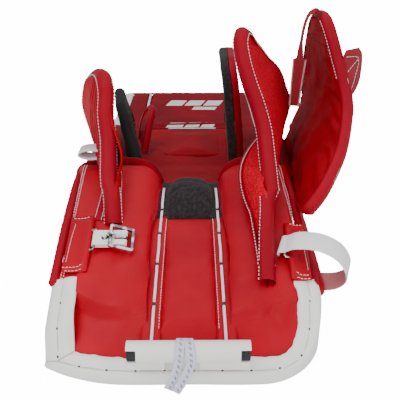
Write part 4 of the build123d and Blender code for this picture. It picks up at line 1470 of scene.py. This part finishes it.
def wrap_straps():
    """The strap over the outer leg wrap, its sewn tail and the inner wrap's loop."""
    strap_over_wrap()
    tail = curve([(189, -193, 168), (193, -193, 186), (197, -193, 206), (198, -193, 228),
                  (196, -192, 246)], 2)
    facing = Vector((0.45, -1, 0.1)).normalized()
    taper = [mixed(0.35, 1, smooth((p.z - 166) / 44)) * (1 - 0.3 * smooth((p.z - 238) / 9)) for p in tail]
    sweep("wrap_strap_tail_band", tail, facing, rounded(28, 2.6), crimson_webbing, "outer_leg_wrap",
          ("wrap_strap_tail",), taper)
    box = [(188, 238), (204, 235), (203, 214), (196, 190), (190, 214), (204, 234)]
    seam = curve([(x, -195.2 + 0.45 * (x - 197), z) for x, z in box], 1.2)
    stitches("wrap_strap_tail_stitches", seam, [facing] * len(seam), "outer_leg_wrap", width=0.8)
    loop = curve([(-104, -255, 143.5), (-118, -255, 144.5), (-127, -255, 142.5), (-130.5, -255, 139),
                  (-127, -255, 135.5), (-118, -255, 133.5), (-104, -255, 134.5)], 2)
    loop_ups = [Vector((0, 1, 0)).cross(t) for t in tangents(loop)]
    sweep("calf_loop_elastic", loop, loop_ups, rounded(22, 2.4), clear_elastic, "inner_calf_wrap",
          ("calf_strap_loop",))


calf_wraps()
leg_wrap()
knee_wraps()
*leathers, ankle_roll = boot_skin()
boot_leather = Skin(*leathers, ankle_roll)
grooves(boot_leather)
boot_edges(boot_leather)
toe_binding()
toe_bridge()
hardware(leathers)
shin_skin()
breaks()
thigh_skin()
shell_and_core()
wrap_straps()


# ---------------------------------------------------------------- photograph's view


def soft_light(name, place, target, size, power):
    lamp = bpy.data.objects.new(name, bpy.data.lights.new(name, "AREA"))
    lamp.data.size = size
    lamp.data.energy = power
    lamp.location = place
    lamp.rotation_euler = (Vector(target) - Vector(place)).to_track_quat("-Z", "Y").to_euler()
    scene.collection.objects.link(lamp)
    return lamp


def studio():
    camera = bpy.data.objects.new("camera", bpy.data.cameras.new("camera"))
    camera.data.lens = 57.6
    camera.data.sensor_width = 36
    camera.data.clip_start = 0.01
    camera.location = (0.007, -0.962, 0.420)
    camera.rotation_euler = (math.radians(90 - 26), 0, math.radians(-0.42))
    scene.collection.objects.link(camera)
    scene.camera = camera

    bpy.ops.mesh.primitive_plane_add(size=12, location=(0, 0, -0.0015))
    floor = bpy.context.object
    floor.name = "floor"
    s = Shader("floor")
    s.finish(s.mix(s.noise(3), (0.93, 0.93, 0.93), (0.9, 0.9, 0.9)), 0.9, specular=0.1)
    seen = s.node("ShaderNodeLightPath").outputs["Is Camera Ray"]
    s.feed(s.bsdf.inputs["Emission Color"], (1, 1, 1, 1))
    s.feed(s.bsdf.inputs["Emission Strength"], s.product(seen, 14.0))
    floor.data.materials.append(s.material)

    soft_light("key", (-0.9, -1.0, 1.9), (0.0, -0.2, 0.0), 1.3, 22)
    soft_light("fill", (1.3, -0.9, 1.3), (0.0, -0.2, 0.1), 1.5, 11)
    soft_light("top", (0.1, 0.3, 2.2), (0.0, -0.1, 0.0), 1.8, 13)
    soft_light("front", (0.0, -2.2, 0.7), (0.0, -0.3, 0.1), 1.4, 16)
    world = bpy.data.worlds.new("studio")
    world.use_nodes = True
    background = world.node_tree.nodes["Background"]
    background.inputs["Color"].default_value = (1, 1, 1, 1)
    background.inputs["Strength"].default_value = 0.5
    scene.world = world


studio()
